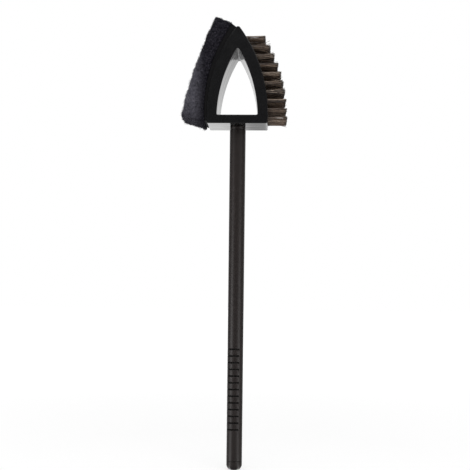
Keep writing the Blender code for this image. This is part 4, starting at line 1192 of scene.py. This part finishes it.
def carrier_thickness(angle):
    """The carrier's thickness, which grows evenly along the arc."""
    low = side_angle(CARRIER_LOW_HEIGHT)
    high = side_angle(head_height - CARRIER_TOP_MARGIN)
    growth = CARRIER_TOP_THICKNESS - CARRIER_LOW_THICKNESS
    return CARRIER_LOW_THICKNESS + growth * (angle - low) / (high - low)


def pad_sides(along):
    """The pad's inner and outer (x, height) points at shares of its length: the inner one follows the
    carrier, the outer one runs on a flatter arc between two corners."""
    low_angle = side_angle(PAD_INNER_LOW_HEIGHT)
    angle = low_angle + (side_angle(head_height) - low_angle) * along
    inner = left_point(angle, carrier_thickness(angle) + 2 * SEAM)
    low = np.array(PAD_LOW_CORNER)
    chord = np.array(PAD_HIGH_CORNER) - low
    half = np.linalg.norm(chord) / 2
    towards_head = np.array((chord[1], -chord[0])) / (2 * half)
    centre = low + chord / 2 + towards_head * math.sqrt(PAD_FACE_RADIUS**2 - half**2)
    spread = math.asin(half / PAD_FACE_RADIUS)
    middle = math.atan2(-towards_head[1], -towards_head[0])
    outer = circle(centre, PAD_FACE_RADIUS, middle + spread * (1 - 2 * along))
    return inner, outer


def pad_surface():
    """The rounded block: the six sides of a box of shares (along, through, deep), whose points near the
    box's edges are drawn onto a rounding, carried to the pad's shape."""
    counts = tuple(PAD_CELLS.values())
    blocks, quads, start = [], [], 0
    for axis in range(3):
        a, b = (axis + 1) % 3, (axis + 2) % 3
        u, v = np.meshgrid(np.arange(counts[a] + 1), np.arange(counts[b] + 1), indexing="ij")
        for end in (0, counts[axis]):
            grid = np.zeros((*u.shape, 3), int)
            grid[..., axis], grid[..., a], grid[..., b] = end, u, v
            numbers = start + np.arange(u.size).reshape(u.shape)
            quad = columns(numbers[:-1, :-1], numbers[1:, :-1], numbers[1:, 1:], numbers[:-1, 1:])
            quads.append(quad.reshape(-1, 4)[:, ::1 if end else -1])
            blocks.append(grid.reshape(-1, 3))
            start += u.size
    corners, number = np.unique(np.concatenate(blocks), axis=0, return_inverse=True)
    shares = corners / counts
    inner, outer = pad_sides(shares[:, 0])
    pad_length = np.linalg.norm(pad_sides(1.0)[1] - pad_sides(0.0)[1])
    lengths = columns(pad_length, np.linalg.norm(outer - inner, axis=1), HEAD_DEPTH)
    place = shares * lengths
    core = np.clip(place, PAD_EDGE_RADIUS, lengths - PAD_EDGE_RADIUS)
    away = place - core
    away *= PAD_EDGE_RADIUS / np.maximum(np.linalg.norm(away, axis=1, keepdims=True), PAD_EDGE_RADIUS)
    shares = (core + away) / lengths
    inner, outer = pad_sides(shares[:, 0])
    flat = inner + (outer - inner) * shares[:, 1:2]
    points = columns(flat[:, 0], front + HEAD_DEPTH * shares[:, 2], head_base + flat[:, 1])
    return points, number.reshape(-1)[np.concatenate(quads)], shares


pad_random = np.random.default_rng(PAD_SEED)
points, quads, shares = pad_surface()
first, second, third = (points[quads[:, k]] for k in range(3))
outer_volume = (np.cross(second - first, third - first) * (first - points.mean(axis=0))).sum()
if outer_volume < 0:
    quads = quads[:, ::-1]
block = make_mesh("block", points, [quads], PAD_SHARP_ANGLE)
normals = np.empty(len(points) * 3, np.float32)
block.vertices.foreach_get("normal", normals)
normals = normals.reshape(-1, 3)
bpy.data.meshes.remove(block)
lumps = sum(height * soft_noise(points, cell, pad_random) for cell, height in PAD_LUMPS)
free = ease(shares[:, 1] / PAD_BOND_SHARE)
body_points = points + normals * ((lumps - PAD_SINK) * free)[:, None]

corner_points = body_points[quads]
face_normals = np.cross(corner_points[:, 2] - corner_points[:, 0], corner_points[:, 3] - corner_points[:, 1])
areas = np.linalg.norm(face_normals, axis=1)
face_shares = shares[quads].mean(axis=1)
cut_end = np.abs(face_shares[:, 0] - 0.5) > 0.5 - SKIN_SHARE
weight = areas * (face_shares[:, 1] > SKIN_SHARE) * (1 + CUT_END_BONUS * cut_end)
weight *= 1 + SEAM_BONUS * (face_shares[:, 1] < SEAM_SHARE)
chosen = pad_random.choice(len(quads), FIBRE_COUNT, p=weight / weight.sum())
mix = pad_random.dirichlet(np.ones(4), FIBRE_COUNT)
roots = np.einsum("ij,ijk->ik", mix, corner_points[chosen])
outwards = normalised(face_normals[chosen])
aim = normalised(np.cross(outwards, pad_random.normal(size=(FIBRE_COUNT, 3))))
aside = np.cross(outwards, aim)


def drawn(limits):
    """One number between the limits for each fibre, as a column."""
    return pad_random.uniform(*limits, (FIBRE_COUNT, 1))


t = np.linspace(0, 1, FIBRE_SPANS + 1)
run = drawn(FIBRE_LENGTH) * (t - 0.5)
sway = drawn(FIBRE_SWAY) * np.sin(math.tau * (drawn(FIBRE_WAVES) * t + drawn((0, 1))))
loose = 1 + LOOSE_LIFT * (drawn((0, 1)) < LOOSE_SHARE)
lift = drawn(FIBRE_LIFT) * loose * np.sin(math.pi * t) - FIBRE_SINK
paths = (
    roots[:, None] + run[..., None] * aim[:, None] + sway[..., None] * aside[:, None]
    + lift[..., None] * outwards[:, None]
)
height = paths[..., 2] - head_base
offset = np.hypot(paths[..., 0] - head_arm, height - HEAD_ARC_HEIGHT) - HEAD_ARC_RADIUS
angle = side_angle(np.clip(height, 0, head_height))
over_carrier = (np.abs(paths[..., 1]) > HEAD_DEPTH / 2 + SEAM) & (offset > OVERHANG_CLEAR)
clear = ((offset > carrier_thickness(angle) + 3 * SEAM) | over_carrier).all(axis=1)
paths, outwards = paths[clear], outwards[clear]
tints = pad_random.random(len(paths))
radii = pad_random.uniform(*FIBRE_RADIUS, (len(paths), 1))
fibres = tubes(paths, radii, FIBRE_SIDES, outwards[:, None])
pad = make_mesh("pad", *gather([(body_points, [quads]), fibres]), PAD_SHARP_ANGLE)
tints = np.repeat(tints, FIBRE_SIDES * len(t))
add_values(pad, "tint", np.concatenate([np.zeros(len(body_points)), tints]))
show_piece(pad, pad_fibre, "pad", "pad_fibre", "scouring_pad")
